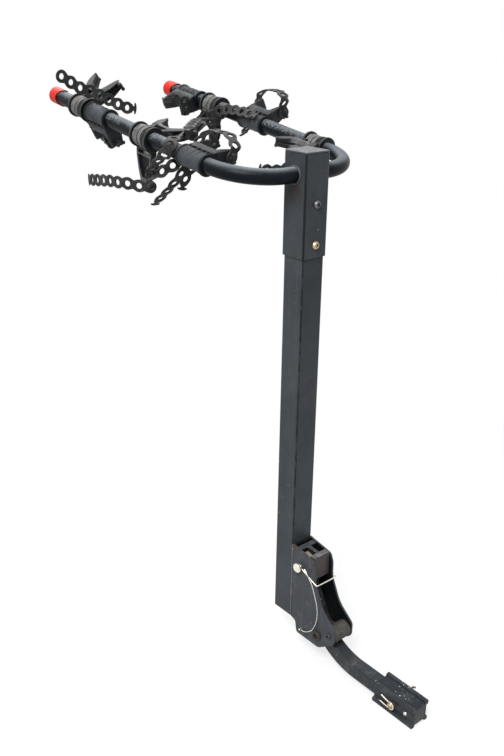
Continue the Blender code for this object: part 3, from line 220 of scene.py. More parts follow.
class Graph:
    """Short names for the nodes of one material. Places are in mm, and noise scales per metre."""

    def __init__(self, name, owners=bpy.data.materials, shader="Principled BSDF"):
        self.material = owners.new(name)
        self.material.use_nodes = True
        self.tree = self.material.node_tree
        self.shader = self.tree.nodes[shader]
        self.metres = self.node("TexCoord", "Object")
        self.place = self.vector("MULTIPLY", "Vector", self.metres, (1 / MM, 1 / MM, 1 / MM))

    def put(self, socket, value):
        if isinstance(value, bpy.types.NodeSocket):
            self.tree.links.new(value, socket)
        elif socket.type == "RGBA":
            socket.default_value = (*value, 1.0)
        else:
            socket.default_value = value

    def node(self, kind, output, inputs=(), **settings):
        """An output of a new node, whose inputs are a dict of values or of other outputs."""
        made = self.tree.nodes.new(f"ShaderNode{kind}")
        for key, value in settings.items():
            setattr(made, key, value)
        for key, value in dict(inputs).items():
            self.put(made.inputs[key], value)
        return made.outputs[output]

    def noise(self, scale, detail=3.0, rough=0.6, stretch=(1.0, 1.0, 1.0)):
        where = self.vector("MULTIPLY", "Vector", self.metres, stretch)
        return self.node("TexNoise", "Fac", {"Vector": where, "Scale": scale, "Detail": detail,
                                             "Roughness": rough})

    def ramp(self, value, low, high, to_low=0.0, to_high=1.0):
        return self.node("MapRange", "Result", {"Value": value, "From Min": low, "From Max": high,
                                                "To Min": to_low, "To Max": to_high},
                         interpolation_type="SMOOTHSTEP")

    def fall(self, value, low, high):
        """1 below the lower limit and 0 above the higher one, soft between."""
        return self.ramp(value, low, high, 1.0, 0.0)

    def math(self, kind, *values):
        return self.node("Math", 0, enumerate(values), operation=kind)

    def vector(self, kind, output, *values):
        return self.node("VectorMath", output, enumerate(values), operation=kind)

    def times(self, *values):
        whole = 1.0
        for value in values:
            whole = self.math("MULTIPLY", value, whole)
        return whole

    def mix(self, share, a, b):
        return self.node("Mix", 2, {0: share, 6: a, 7: b}, data_type="RGBA")

    def coats(self, base, layers):
        """A colour under layers, each a mask and its colour."""
        for mask, shade in layers:
            base = self.mix(mask, base, shade)
        return base

    def axis(self, name, where=None):
        return self.node("SeparateXYZ", name, {0: where or self.place})

    def cradle_frame(self):
        """In a cradle's own frame: the point, its |X|, |Y| and Z, and its distance from the arm's axis."""
        here = self.node("Attribute", "Vector", attribute_name="local")
        x, y = (self.math("ABSOLUTE", self.axis(name, here)) for name in "XY")
        flat = self.vector("MULTIPLY", "Vector", here, (1.0, 0.0, 1.0))
        return here, x, y, self.axis("Z", here), self.vector("LENGTH", "Value", flat)

    def upward(self, low, high):
        """1 on faces that look up and 0 on the others."""
        return self.ramp(self.axis("Z", self.node("TexCoord", "Normal")), low, high)

    def near(self, point, low, high):
        """1 inside a distance of a point and 0 outside."""
        return self.fall(self.vector("DISTANCE", "Value", self.place, point), low, high)

    def near_line(self, x, y, low, high):
        """1 near an upright line and 0 away from it."""
        flat = self.vector("MULTIPLY", "Vector", self.place, (1.0, 1.0, 0.0))
        return self.fall(self.vector("DISTANCE", "Value", flat, (x, y, 0.0)), low, high)

    def within(self, low, high, soft=0.6):
        """1 inside a box and 0 outside; a side given as None is open."""
        steps = [self.ramp(self.axis(name), a - soft, a + soft)
                 for name, a in zip("XYZ", low) if a is not None]
        steps += [self.fall(self.axis(name), b - soft, b + soft)
                  for name, b in zip("XYZ", high) if b is not None]
        return self.times(*steps)

    def bump(self, *layers):
        """Each layer is a height, its depth in metres and its strength."""
        below = {}
        for height, depth, strength in layers:
            below["Normal"] = self.node("Bump", "Normal", {"Height": height, "Distance": depth,
                                                           "Strength": strength, **below})
        self.put(self.shader.inputs["Normal"], below["Normal"])

    def finish(self, colour, roughness, metallic=0.0, gloss=0.5):
        for key, value in (("Base Color", colour), ("Roughness", roughness), ("Metallic", metallic),
                           ("Specular IOR Level", gloss)):
            self.put(self.shader.inputs[key], value)
        return self.material


def unmarked(g):
    return []


def powder_coat(name, tone=1.0, chips=0.0, dust=0.0, brown=0.0, dust_colour=(0.2, 0.2, 0.2), gloss=0.2,
                marks=unmarked):
    """Charcoal powder coat with a fine grain, cloudy wear, pale chips and dust."""
    g = Graph(name)
    deep, pale, streaked = (tuple(tone * c for c in shade) for shade in (
        (0.026, 0.031, 0.037), (0.040, 0.046, 0.053), (0.058, 0.065, 0.072)))
    layers = [
        (g.ramp(g.noise(9.0, 4.0), 0.35, 0.7), pale),
        (g.ramp(g.noise(40.0, 3.0, stretch=(1.0, 1.0, 0.06)), 0.52, 0.75, 0.0, 0.5), streaked),
        (g.ramp(g.noise(26.0, 5.0, 0.7), 0.5, 0.72, 0.0, brown), (0.062, 0.042, 0.032)),
        (g.ramp(g.noise(34.0, 5.0, 0.75), 0.5, 0.8, 0.0, dust), dust_colour)]
    if chips:
        spots = g.ramp(g.noise(150.0, 2.0, 0.55), 0.74 - 0.05 * chips, 0.78 - 0.05 * chips)
        layers.append((g.times(spots, g.ramp(g.noise(14.0, 2.0), 0.42, 0.6)), (0.6, 0.6, 0.58)))
    rough = g.ramp(g.noise(18.0, 3.0), 0.3, 0.75, 0.32, 0.46)
    g.bump((g.noise(900.0, 2.0), 0.0003, 0.25), (g.noise(120.0, 3.0), 0.0005, 0.12))
    return g.finish(g.coats(deep, layers + marks(g)), rough, 0.0, gloss)


def moulded(name, colour, rough=(0.45, 0.62), dust=0.5, dust_colour=(0.16, 0.165, 0.17), top_dust_and_painted_sheen=0.0,
            marks=unmarked):
    """Moulded rubber or plastic: dark, with pale dust in patches, and pale on faces that look up, as dust
    settled there and partly a painted highlight.
    """
    g = Graph(name)
    layers = [
        (g.ramp(g.noise(30.0, 3.0), 0.35, 0.7), tuple(1.5 * c for c in colour)),
        (g.times(g.ramp(g.noise(22.0, 4.0, 0.7), 0.45, 0.75),
                 g.ramp(g.noise(260.0, 3.0, 0.7), 0.35, 0.75), dust), dust_colour),
        # Pale on faces that look up: settled dust, and in part a painted highlight, most of all on the
        # straps.
        (g.times(g.ramp(g.noise(70.0, 4.0, 0.7), 0.3, 0.65, 0.3 * top_dust_and_painted_sheen, top_dust_and_painted_sheen),
                 g.upward(0.35, 0.95)), dust_colour)]
    shine = g.ramp(g.noise(48.0, 3.0), 0.3, 0.75, *rough)
    g.bump((g.noise(700.0, 2.0), 0.0003, 0.3), (g.noise(90.0, 3.0), 0.0006, 0.15))
    return g.finish(g.coats(colour, layers + marks(g)), shine, gloss=0.22)


def metal(name, colour, patch, rough, amount=0.5, scale=60.0, metallic=1.0):
    """Bare or plated metal with stains."""
    g = Graph(name)
    base = g.mix(g.ramp(g.noise(scale, 5.0, 0.7), 0.45, 0.7, 0.0, amount), colour, patch)
    shine = g.ramp(g.noise(scale * 2, 3.0), 0.3, 0.7, rough, rough + 0.25)
    g.bump((g.noise(scale * 6, 3.0), 0.0003, 0.25))
    return g.finish(base, shine, metallic)


def stranded(name):
    """Cable with fine lay lines."""
    g = Graph(name)
    wave = g.node("TexWave", "Fac", {"Vector": g.metres, "Scale": 260.0}, wave_type="BANDS",
                  bands_direction="DIAGONAL")
    g.bump((wave, 0.0004, 0.5))
    return g.finish(g.mix(wave, (0.42, 0.41, 0.38), (0.82, 0.8, 0.74)), 0.4, 0.8)


DARK = (0.005, 0.006, 0.007)
BLACK = (0.002, 0.002, 0.003)
RIM_DARK = (0.004, 0.005, 0.006)


def sleeve_marks(g):
    """A dark line painted down the near corner as shade on its rounded edge, and a dark brown area below the
    left arm.
    """
    # Painted shade: a dark line down the sleeve's near corner.
    line = g.near_line(-SLEEVE_HALF, MAST_Y - SLEEVE_HALF, 2.6, 4.6)
    patch = g.times(g.near((-SLEEVE_HALF, MAST_Y - 2, ARM_Z - 31), 8, 30),
                    g.ramp(g.noise(60.0, 4.0), 0.3, 0.6, 0.4, 1.0))
    return [(patch, (0.024, 0.018, 0.015)), (line, DARK)]


def mast_marks(g):
    """A thin ragged dark line painted down the near corner as shade on its rounded edge, and a front that is
    darker at its top.
    """
    # Painted shade: the ragged dark line down the mast's near corner.
    line = g.times(g.near_line(-MAST_HALF, MAST_Y - MAST_HALF, 1.8, 3.6),
                   g.ramp(g.noise(50.0, 4.0), 0.35, 0.55, 0.2, 1.0))
    front = g.within((None, None, None), (None, MAST_Y - MAST_HALF + 1.5, None))
    shade = g.times(front, g.ramp(g.axis("Z"), 450, 850, 0.0, 0.5))
    return [(shade, (0.018, 0.021, 0.025)), (line, DARK)]


def arm_marks(g):
    """Painted shade on the near-black sides and underside, a painted pale bluish highlight along the top
    with a brighter painted highlight just left of the sleeve, and mottled dust where the cradles are.
    """
    # Painted highlight: a pale bluish sheen on the faces that look up.
    painted_top_highlight = g.times(g.upward(0.55, 0.98), g.ramp(g.noise(12.0, 3.0), 0.25, 0.7, 0.6, 1.0))
    # Painted highlight: brighter on the top just left of the sleeve.
    shine = g.times(g.upward(0.8, 0.99), g.near((-60, MAST_Y, ARM_Z), 30, 160), 0.6)
    spots = g.times(g.ramp(g.noise(200.0, 5.0, 0.75), 0.42, 0.68), g.ramp(g.noise(30.0, 3.0), 0.3, 0.6),
                    g.upward(0.1, 0.7), g.ramp(g.axis("Y"), MAST_Y + 100, MAST_Y + 200, 0.1, 0.8))
    # The first layer below is painted shade: near black on the sides and underside.
    return [(g.upward(0.85, 0.35), (0.005, 0.007, 0.010)), (painted_top_highlight, (0.115, 0.132, 0.15)),
            (shine, (0.25, 0.27, 0.29)), (spots, (0.24, 0.25, 0.26))]


def cage_marks(g):
    """Dusty bands on the collar with black grooves as painted shade, a pale V, the near prong's sunk outer
    side painted dark as shade, and the wishbone's sunk web painted near black as shade.
    """
    here, x, y, z, r = g.cradle_frame()
    half = COLLAR_LENGTH / 2
    cloud = g.ramp(g.noise(60.0, 4.0, 0.7), 0.3, 0.65, 0.45, 1.0)
    dusty = g.ramp(g.noise(110.0, 5.0, 0.7), 0.3, 0.7)
    collar = g.fall(r, 26.4, 27.2)
    band = g.times(collar, g.ramp(r, 21.6, 22.1), g.fall(y, half - 5.6, half - 5), cloud)
    ribs = g.times(collar, g.ramp(r, 23.1, 23.6))
    flange = g.times(collar, g.ramp(y, half - 5.4, half - 4.8))
    edge = g.times(flange, g.ramp(r, 24.9, 25.6), cloud)
    high = g.ramp(z, 41, 45)
    lean = g.math("SUBTRACT", y, g.times(z, 0.5))
    cradle = g.times(high, g.fall(lean, -5.4, -4.2), cloud)
    outer = g.times(high, g.ramp(lean, 0, 4))
    # Painted shade: the near prong's sunk outer side, dark.
    black = g.times(outer, g.fall(g.axis("Y", here), -5, 5))
    width = g.ramp(z, 46, PRONG_HEIGHT, PRONG_WIDTH / 2 - 1, TIP_SHARE * PRONG_WIDTH / 2 - 1)
    walls = g.times(high, g.ramp(g.math("SUBTRACT", x, width), -0.5, 0.5), cloud)
    across = g.math("ABSOLUTE", g.math("ADD", g.times(x, -math.cos(WISHBONE_ANGLE)),
                                       g.times(z, math.sin(WISHBONE_ANGLE))))
    limb = g.times(g.ramp(r, 28, 30), g.fall(across, 9.5, 11))
    # Painted shade: the wishbone's sunk web, near black.
    web = g.times(limb, g.fall(across, 3.0, 4.4))
    rims = g.times(limb, g.ramp(across, 5.6, 7.0), cloud)
    # In the list below, the collar's grooves are painted black as shade.
    return [(band, (0.09, 0.09, 0.09)), (g.times(band, dusty), (0.23, 0.225, 0.21)),
            (ribs, (0.012, 0.013, 0.014)), (g.fall(r, 21.6, 22.1), BLACK), (flange, RIM_DARK),
            (edge, (0.05, 0.05, 0.05)), (g.times(outer, cloud), (0.055, 0.058, 0.06)), (black, DARK),
            (walls, (0.075, 0.078, 0.08)), (cradle, (0.17, 0.172, 0.172)), (web, (0.003, 0.004, 0.006)),
            (rims, (0.13, 0.137, 0.144))]


def saddle_marks(g):
    """A pale bluish barrel with dark rims, painted highlights on the trough's upper outer sides, and painted
    shade: black where the barrel's end rims meet the trough and near black between the fins.
    """
    _, x, y, z, r = g.cradle_frame()
    half = SADDLE_LENGTH / 2
    flank = SADDLE_WIDTH / 2
    cloud = g.ramp(g.noise(50.0, 4.0, 0.7), 0.3, 0.65, 0.4, 1.0)
    barrel = g.times(g.fall(r, 20.6, 21.4), cloud)
    rim = g.times(g.ramp(y, half - 5.6, half - 4.8), g.fall(r, 23.4, 24.0))
    # Painted highlight: the trough's upper outer sides and lips lighter in patches.
    edges = g.times(g.ramp(z, 21, 23), g.ramp(x, flank - 1.6, flank - 0.6), cloud)
    # Painted shade: black where the barrel's end rims meet the trough.
    hollow = g.times(g.ramp(z, 18, 19), g.fall(z, 23, 24.5), g.fall(x, 17.6, 18.4))
    taper = g.times(g.math("ADD", z, 14.0), 0.19)
    beside = g.math("SUBTRACT", g.math("PINGPONG", y, FIN_PITCH / 2), taper)
    # Painted shade: near-black shadows between the fins.
    fin_shadows = g.times(g.fall(beside, -0.4, 0.4), g.fall(r, 20.4, 20.7), g.fall(y, 21, 22), g.ramp(z, -14, -13))
    trough = g.times(g.ramp(z, 26, 27), g.fall(y, half - 9, half - 7), cloud)
    return [(barrel, (0.05, 0.056, 0.064)), (hollow, BLACK), (rim, RIM_DARK), (fin_shadows, (0.003, 0.003, 0.004)),
            (trough, (0.022, 0.024, 0.026)), (edges, (0.07, 0.073, 0.077))]


def bracket_marks(g):
    """Painted shade on the channel's inside faces."""
    return [(g.within((-CHEEK_IN - 0.4, None, None), (CHEEK_IN + 0.4, None, None), 0.4), DARK)]


def head_marks(g):
    """Painted shade in the pockets' insides, grey dust on the front block's top, and a purple-brown front.
    """
    front_y, pocket_y, back_y = (MAST_Y + y for y in (HEAD_FRONT, POCKET_FRONT, POCKET_BACK))
    z = MAST_FOOT + BRACKET_HEIGHT - 8.5
    front = g.within((None, None, None), (None, front_y + 1.2, z), 0.5)
    top = g.within((None, None, z + 1), (None, pocket_y, None), 0.5)
    marks = [(g.times(top, g.ramp(g.noise(45.0, 4.0), 0.3, 0.6)), (0.17, 0.16, 0.15)),
             (front, (0.062, 0.05, 0.05))]
    for low, high in ((-60, 0.2 - HEAD_WEB), (HEAD_WEB - 0.2, 60)):
        # Painted shade: each pocket's inside, dark.
        pocket = g.within((low, pocket_y - 0.3, None), (high, back_y + 0.3, z + 1.5), 0.3)
        marks.append((pocket, DARK))
    return marks


LOOKS = {
    "powder_coat": powder_coat("powder_coat", chips=0.3, dust=0.2),
    "black_extrusion": powder_coat("black_extrusion", 0.8, chips=1.4, dust=0.3),
    "red_cap": moulded("red_cap_plastic", (0.46, 0.012, 0.003), (0.35, 0.5), 0.05, (0.6, 0.1, 0.05)),
    "cradle_plastic": moulded("cradle_plastic", (0.010, 0.0115, 0.013), top_dust_and_painted_sheen=0.2, marks=saddle_marks),
    "cage_rubber": moulded("cage_rubber", (0.010, 0.0115, 0.013), dust=0.6, top_dust_and_painted_sheen=0.2, marks=cage_marks),
    # The straps' pale tops are partly a painted highlight along their upper sides.
    "strap_rubber": moulded("strap_rubber", (0.014, 0.014, 0.0145), (0.5, 0.7), 0.8,
                            (0.2, 0.195, 0.185), 0.4),
    "zinc": metal("zinc", (0.86, 0.82, 0.7), (0.5, 0.45, 0.34), 0.25),
    "brassy_zinc": metal("brassy_zinc", (0.5, 0.4, 0.26), (0.12, 0.085, 0.055), 0.35, 0.9),
    "dark_steel": metal("dark_steel", (0.035, 0.035, 0.038), (0.1, 0.095, 0.09), 0.4, 0.4, metallic=0.4),
    "worn_steel": metal("worn_steel", (0.075, 0.068, 0.06), (0.024, 0.021, 0.018), 0.55, 0.9, 90.0, 0.25),
    "rusty_steel": metal("rusty_steel", (0.035, 0.027, 0.023), (0.014, 0.012, 0.011), 0.55, 0.9, 120.0, 0.3),
    "cable_steel": stranded("cable_steel"),
    "ferrule_metal": metal("ferrule_metal", (0.85, 0.84, 0.8), (0.6, 0.57, 0.5), 0.3),
    "pale_plastic": moulded("pale_plastic", (0.2, 0.165, 0.13), (0.4, 0.55), 0.4, (0.32, 0.29, 0.25)),
    "cap_plastic": moulded("cap_plastic", (0.05, 0.054, 0.06), (0.22, 0.34), 0.3, top_dust_and_painted_sheen=0.15),
}
SLEEVE_LOOK = powder_coat("powder_coat_sleeve", chips=0.05, dust=0.12, marks=sleeve_marks)
ARM_LOOK = powder_coat("powder_coat_arm", 0.7, chips=0.1, dust=0.1, gloss=0.08, marks=arm_marks)
BRACKET_LOOK = powder_coat("powder_coat_low", 1.35, chips=0.5, dust=0.45, brown=0.7, marks=bracket_marks)
MAST_LOOK = powder_coat("powder_coat_mast", 1.15, chips=0.25, dust=0.15, marks=mast_marks)
SHANK_LOOK = powder_coat("powder_coat_shank", 0.8, chips=0.9, dust=0.6, brown=0.5)
HEAD_LOOK = powder_coat("powder_coat_head", 1.2, chips=0.5, dust=0.5, brown=0.9, marks=head_marks)
WELD_LOOK = powder_coat("weld_coat", 1.6, dust=0.6)
PALE_WELD_LOOK = powder_coat("weld_pale", 3.6, chips=1.5, dust=1.0, dust_colour=(0.3, 0.3, 0.31))
BUTTON_LOOK = moulded("button_rubber", (0.016, 0.0175, 0.019), dust=0.8, top_dust_and_painted_sheen=0.3)
SCREW_LOOK = metal("screw_rim", (0.7, 0.7, 0.68), (0.3, 0.29, 0.27), 0.3)
UPPER_BOLT_LOOK = metal("bolt_upper", (0.09, 0.09, 0.095), (0.4, 0.4, 0.4), 0.35, 0.4)


# Shapes. Each function returns a bmesh in mm, and add_piece joins one or more into a piece.


def place(axis, along, a, b):
    """A point from its distance along an axis and its two other coordinates."""
    return {"x": (along, a, b), "y": (a, along, b), "z": (a, b, along)}[axis]


def both_sides(corners):
    """Corners (a, b, radius), and then their mirror image."""
    return corners + [(-a, b, radius) for a, b, radius in corners[::-1]]


def rounded(corners, step=10.0):
    """An outline from corners (a, b, radius), each radius drawn as an arc."""
    points = []
    for i, (a, b, radius) in enumerate(corners):
        here = Vector((a, b))
        before = (Vector(corners[i - 1][:2]) - here).normalized()
        after = (Vector(corners[(i + 1) % len(corners)][:2]) - here).normalized()
        if radius <= 0:
            points.append(here)
            continue
        half = before.angle(after) / 2
        centre = here + (before + after).normalized() * (radius / math.sin(half))
        start = here + before * (radius / math.tan(half)) - centre
        end = here + after * (radius / math.tan(half)) - centre
        turn = start.angle_signed(end)
        pieces = max(1, round(abs(math.degrees(turn)) / step))
        points += [centre + Matrix.Rotation(-turn * k / pieces, 2) @ start for k in range(pieces + 1)]
    return points


def rounded_square(half, corner, step=7.5):
    return rounded(both_sides([(half, -half, corner), (half, half, corner)]), step)


def circle(radius, count=48, centre=(0.0, 0.0)):
    return [Vector((centre[0] + radius * math.cos(math.tau * k / count),
                    centre[1] + radius * math.sin(math.tau * k / count))) for k in range(count)]


def inset(outline, depth):
    """The outline moved inwards by a depth, or outwards by a negative one."""
    count = len(outline)
    area = sum(outline[i - 1].cross(outline[i]) for i in range(count))
    side = 1 if area > 0 else -1
    shifted = []
    for i, here in enumerate(outline):
        before = (here - outline[i - 1]).normalized()
        after = (outline[(i + 1) % count] - here).normalized()
        way = (before + after).normalized()
        normal = Vector((-way.y, way.x)) * side
        lean = normal.dot(Vector((-before.y, before.x)) * side)
        shifted.append(here + normal * (depth / max(lean, 0.5)))
    return shifted


def loft(loops, ring=False):
    """Faces between loops of points, with flat ends or as a ring; a loop may be a single point."""
    mesh = bmesh.new()
    rows = [[mesh.verts.new(point) for point in loop] for loop in loops]
    count = max(len(row) for row in rows)
    for one, two in zip(rows, rows[1:] + rows[:1] if ring else rows[1:]):
        for k in range(count):
            corners = [row[i % len(row)] for row, i in ((one, k), (one, k + 1), (two, k + 1), (two, k))]
            mesh.faces.new(list(dict.fromkeys(corners)))
    for row in (() if ring else (rows[0], rows[-1])):
        if len(row) > 1:
            mesh.faces.new(row)
    return mesh


def layers(outline, low, high, edge, axis):
    """Loops from low to high, drawn in at both ends to round the edges."""
    parts = []
    for end, way in ((low, 1), (high, -1)):
        part = []
        for k in range(EDGE_STEPS + 1):
            angle = math.pi / 2 * k / EDGE_STEPS
            along = end + way * edge * (1 - math.cos(angle))
            part.append([place(axis, along, *point)
                         for point in inset(outline, edge * (1 - math.sin(angle)))])
        parts.append(part)
    return parts[0] + parts[1][::-1]


def prism(outline, low, high, axis="x", edge=0.6):
    """A closed outline pushed along one axis between two places, with rounded edges."""
    return loft(layers([Vector(p) for p in outline], *sorted((low, high)), edge, axis))


def pipe(outer, inner, low, high, axis="z", edge=0.5):
    """A tube between two outlines with the same number of points."""
    hollow = [[place(axis, along, *point) for point in inner] for along in (high, low)]
    return loft(layers(outer, low, high, edge, axis) + hollow, ring=True)


def turned(corners, axis="y", centre=(0.0, 0.0), segments=48, ring=False):
    """A lathe shape; its corners are (along, radius, fillet), and end on the axis or form a ring."""
    loops = []
    for along, radius in rounded(corners, 22.5):
        points = circle(radius, segments, centre) if radius > 1e-6 else [centre]
        loops.append([place(axis, along, *point) for point in points])
    return loft(loops, ring)


def rod(radius, low, high, axis="y", centre=(0.0, 0.0), edge=0.5, segments=40):
    return turned([(low, 0, 0), (low, radius, edge), (high, radius, edge), (high, 0, 0)],
                  axis, centre, segments)


def hexagon(across, centre=(0.0, 0.0), corner=0.6):
    reach = across / 2 / math.cos(math.pi / 6)
    return rounded([(*point, corner) for point in circle(reach, 6, centre)], 30.0)


def tube(points, radius, sides=24, ring=False):
    """A round bar along points; radius is a number or one for each point."""
    path = [Vector(p) for p in points]
    count = len(path)
    across = (path[1] - path[0]).orthogonal().normalized()
    loops = []
    for i, point in enumerate(path):
        after, before = ((i + 1) % count, i - 1) if ring else (min(i + 1, count - 1), max(i - 1, 0))
        along = (path[after] - path[before]).normalized()
        across = (across - along * across.dot(along)).normalized()
        other = along.cross(across)
        size = radius[i] if isinstance(radius, list) else radius
        loops.append([point + across * a + other * b for a, b in circle(size, sides)])
    return loft(loops, ring)


def sweep(points, outline, side, edge=0.0):
    """An outline carried along a flat path; its first coordinate lies along side."""
    loops = []
    for i, point in enumerate(points):
        along = (points[min(i + 1, len(points) - 1)] - points[max(i - 1, 0)]).normalized()
        other = side.cross(along)
        drawn = inset(outline, edge) if i in (0, len(points) - 1) else outline
        loops.append([point + side * a + other * b for a, b in drawn])
    return loft(loops)


def spline(points, steps):
    """A smooth curve through points: each place with its stretch and its share of that stretch."""
    ends = [points[0] * 2 - points[1], *points, points[-1] * 2 - points[-2]]
    for i in range(len(points) - 1):
        a, b, c, d = ends[i:i + 4]
        for k in range(steps):
            t = k / steps
            yield 0.5 * (2 * b + (c - a) * t + (2 * a - 5 * b + 4 * c - d) * t * t
                         + (3 * b - a - 3 * c + d) * t ** 3), i, t
    yield points[-1], len(points) - 2, 1.0


def smooth_route(points, step):
    """Points a step apart, read from a smooth curve through the given ones."""
    fine = [spot for spot, _, _ in spline([Vector(p) for p in points], 24)]
    length = sum((q - p).length for p, q in zip(fine, fine[1:]))
    count = max(2, round(length / step))
    picked = [fine[0]]
    travelled = 0.0
    for p, q in zip(fine, fine[1:]):
        stretch = (q - p).length
        while len(picked) < count and travelled + stretch >= len(picked) * length / count:
            picked.append(p.lerp(q, (len(picked) * length / count - travelled) / stretch))
        travelled += stretch
    return picked + [fine[-1]]


def moved(mesh, matrix):
    bmesh.ops.transform(mesh, matrix=matrix, verts=mesh.verts[:])
    return mesh


def as_object(name, meshes):
    """Link an object whose mesh joins the shapes given."""
    whole = bmesh.new()
    for mesh in meshes:
        bmesh.ops.recalc_face_normals(mesh, faces=mesh.faces[:])
        part = bpy.data.meshes.new("part")
        mesh.to_mesh(part)
        mesh.free()
        whole.from_mesh(part)
        bpy.data.meshes.remove(part)
    data = bpy.data.meshes.new(name)
    whole.to_mesh(data)
    whole.free()
    return linked(name, data)


def linked(name, data):
    obj = bpy.data.objects.new(name, data)
    bpy.context.scene.collection.objects.link(obj)
    return obj


def carved(mesh, *tools, edge=0.0):
    """The shape with others cut out of it, and its sharp edges then rounded."""
    base = as_object("base", [mesh])
    cutters = [as_object("cutter", [tool]) for tool in tools]
    for cutter in cutters:
        boolean = base.modifiers.new("cut", "BOOLEAN")
        boolean.operation = "DIFFERENCE"
        boolean.solver = "EXACT"
        boolean.object = cutter
    if edge:
        bevel = base.modifiers.new("edge", "BEVEL")
        bevel.width = edge
        bevel.segments = 2
        bevel.angle_limit = math.radians(50)
    bpy.context.view_layer.update()
    result = bmesh.new()
    result.from_object(base, bpy.context.evaluated_depsgraph_get())
    for obj in (base, *cutters):
        bpy.data.objects.remove(obj, do_unlink=True)
    return result


def add_piece(node, meshes, slot, body="mast", look=None, matrix=Matrix(), sharp=40.0):
    """The visible piece for a CAD node, which rides on a body; a weld stands for no node."""
    extra = node.endswith("_welds")
    obj = as_object(node if extra else f"{node}_look", meshes)
    data = obj.data
    spots = data.attributes.new("local", "FLOAT_VECTOR", "POINT")
    for vertex, spot in zip(data.vertices, spots.data):
        spot.vector = vertex.co
    data.transform(Matrix.Scale(MM, 4) @ matrix)
    data.shade_smooth()
    data.set_sharp_from_angle(angle=math.radians(sharp))
    data.materials.append(look or LOOKS[slot])
    obj.modifiers.new("normals", "WEIGHTED_NORMAL").keep_sharp = True
    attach(obj, body)
    if not extra:
        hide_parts(node)
    return obj


def from_mast(y, z):
    """Y and Z of a point given from the mast's axis and foot."""
    return (MAST_Y + y, MAST_FOOT + z)


def arm_frame(side, along, turn=0.0):
    """Axes of a cradle: X sideways, Y along the arm, Z the way its cradle points."""
    base = Matrix.Translation((side * ARM_HALF_SPACING, MAST_Y, ARM_Z))
    return (base @ Matrix.Rotation(ARM_TILT, 4, "X") @ Matrix.Translation((0, along, 0))
            @ Matrix.Rotation(math.radians(turn), 4, "Y"))


# Arms and mast


def build_arms():
    tilt = Matrix.Rotation(ARM_TILT, 3, "X")
    origin = Vector((0, MAST_Y, ARM_Z))
    w, r = ARM_HALF_SPACING, ARM_BEND_RADIUS
    half = [Vector((0, 0, 0)), Vector((w - r, 0, 0))]
    bends = 28
    for k in range(1, bends + 1):
        angle = math.pi / 2 * k / bends
        half.append(Vector((w - r + r * math.sin(angle), r - r * math.cos(angle), 0)))
    half.append(Vector((w, ARM_LENGTH, 0)))
    flat = [Vector((-p.x, p.y, p.z)) for p in half[:0:-1]] + half[1:]
    add_piece("arm_bar", [tube([origin + tilt @ p for p in flat], ARM_RADIUS, 56)], "powder_coat",
              look=ARM_LOOK)
    inner = ARM_RADIUS + 0.45
    outer = inner + END_CAP_WALL
    for side, name in SIDES:
        cap = turned([(GAP, 0, 0), (GAP, inner, 0), (-END_CAP_LENGTH, inner, 0.4),
                      (-END_CAP_LENGTH, outer, 0.8), (0, outer, 3.5), (3.6, outer - 6.5, 5),
                      (4.1, 0, 0)], segments=64)
        scoop = rod(END_CAP_SCALLOP, -2 * outer, 2 * outer, "x", (-END_CAP_LENGTH - 2, 0), 0, 64)
        add_piece(f"arm_cap_{name}", [carved(cap, scoop, edge=0.5)], "red_cap",
                  matrix=arm_frame(side, ARM_LENGTH))


def weld_ring(side):
    """A bead of weld round the arm where it meets the sleeve."""
    points = [(side * (SLEEVE_HALF + 0.9), *spot) for spot in circle(ARM_RADIUS + 0.9, 160, (MAST_Y, ARM_Z))]
    turns = [math.tau * k / len(points) for k in range(len(points))]
    sizes = [2.2 + 0.12 * abs(math.sin(13 * turn)) + 0.3 * math.sin(3 * turn + 1.0) for turn in turns]
    return tube(points, sizes, 12, ring=True)


def weld_seam(x, y, low, high):
    """An upright bead of weld, with its ripples."""
    count = round((high - low) / 1.1)
    points = []
    sizes = []
    for k in range(count + 1):
        points.append((x, y, low + (high - low) * k / count))
        swell = 0.9 + 0.28 * abs(math.sin(k * 0.62)) + 0.15 * math.sin(k * 0.13)
        sizes.append(0.5 + min(k, count - k, 3) / 3 * swell)
    return tube(points, sizes, 12)


def nut_shape(across, bore, centre, seat, thick, axis, corner=0.6, edge=0.5):
    return pipe(hexagon(across, centre, corner), circle(bore, 18, centre), seat, seat + thick, axis, edge)


def build_mast():
    foot = Matrix.Translation((0, MAST_Y, MAST_FOOT))
    tube_walls = rounded_square(MAST_HALF, 4), rounded_square(MAST_HALF - 2.8, 2.6)
    add_piece("mast_tube", [pipe(*tube_walls, 0, MAST_LENGTH)], "powder_coat", look=MAST_LOOK, matrix=foot)
    sleeve_walls = rounded_square(SLEEVE_HALF, 5), rounded_square(MAST_HALF + 0.3, 4)
    add_piece("mast_sleeve", [pipe(*sleeve_walls, SLEEVE_TOP - SLEEVE_LENGTH, SLEEVE_TOP, edge=0.7)],
              "powder_coat", look=SLEEVE_LOOK, matrix=foot)
    add_piece("arm_welds", [weld_ring(side) for side in (-1, 1)], "powder_coat", look=WELD_LOOK)
    base = SLEEVE_TOP + GAP
    plate = prism(rounded_square(SLEEVE_HALF, 5), base, base + 4, "z", 1.6)
    plug = prism(rounded_square(MAST_HALF, 4), base - 12, base + 2, "z")
    add_piece("mast_top_cap", [plate, plug], "cap_plastic", matrix=foot)
    for name, below, slot, look in (("upper", 56.0, "dark_steel", UPPER_BOLT_LOOK),
                                    ("lower", 137.0, "brassy_zinc", None)):
        seat = SLEEVE_HALF + GAP
        centre = (0, ARM_HEIGHT - below)
        add_piece(f"sleeve_bolt_{name}", socket_bolt(4.75, 8.5, 5.5, -seat, seat + 9.5, "y", centre),
                  slot, look=look, matrix=foot)
        nut = nut_shape(14.3, 5.05, centre, seat, 8, "y")
        add_piece(f"sleeve_nut_{name}", [nut], "dark_steel", matrix=foot)


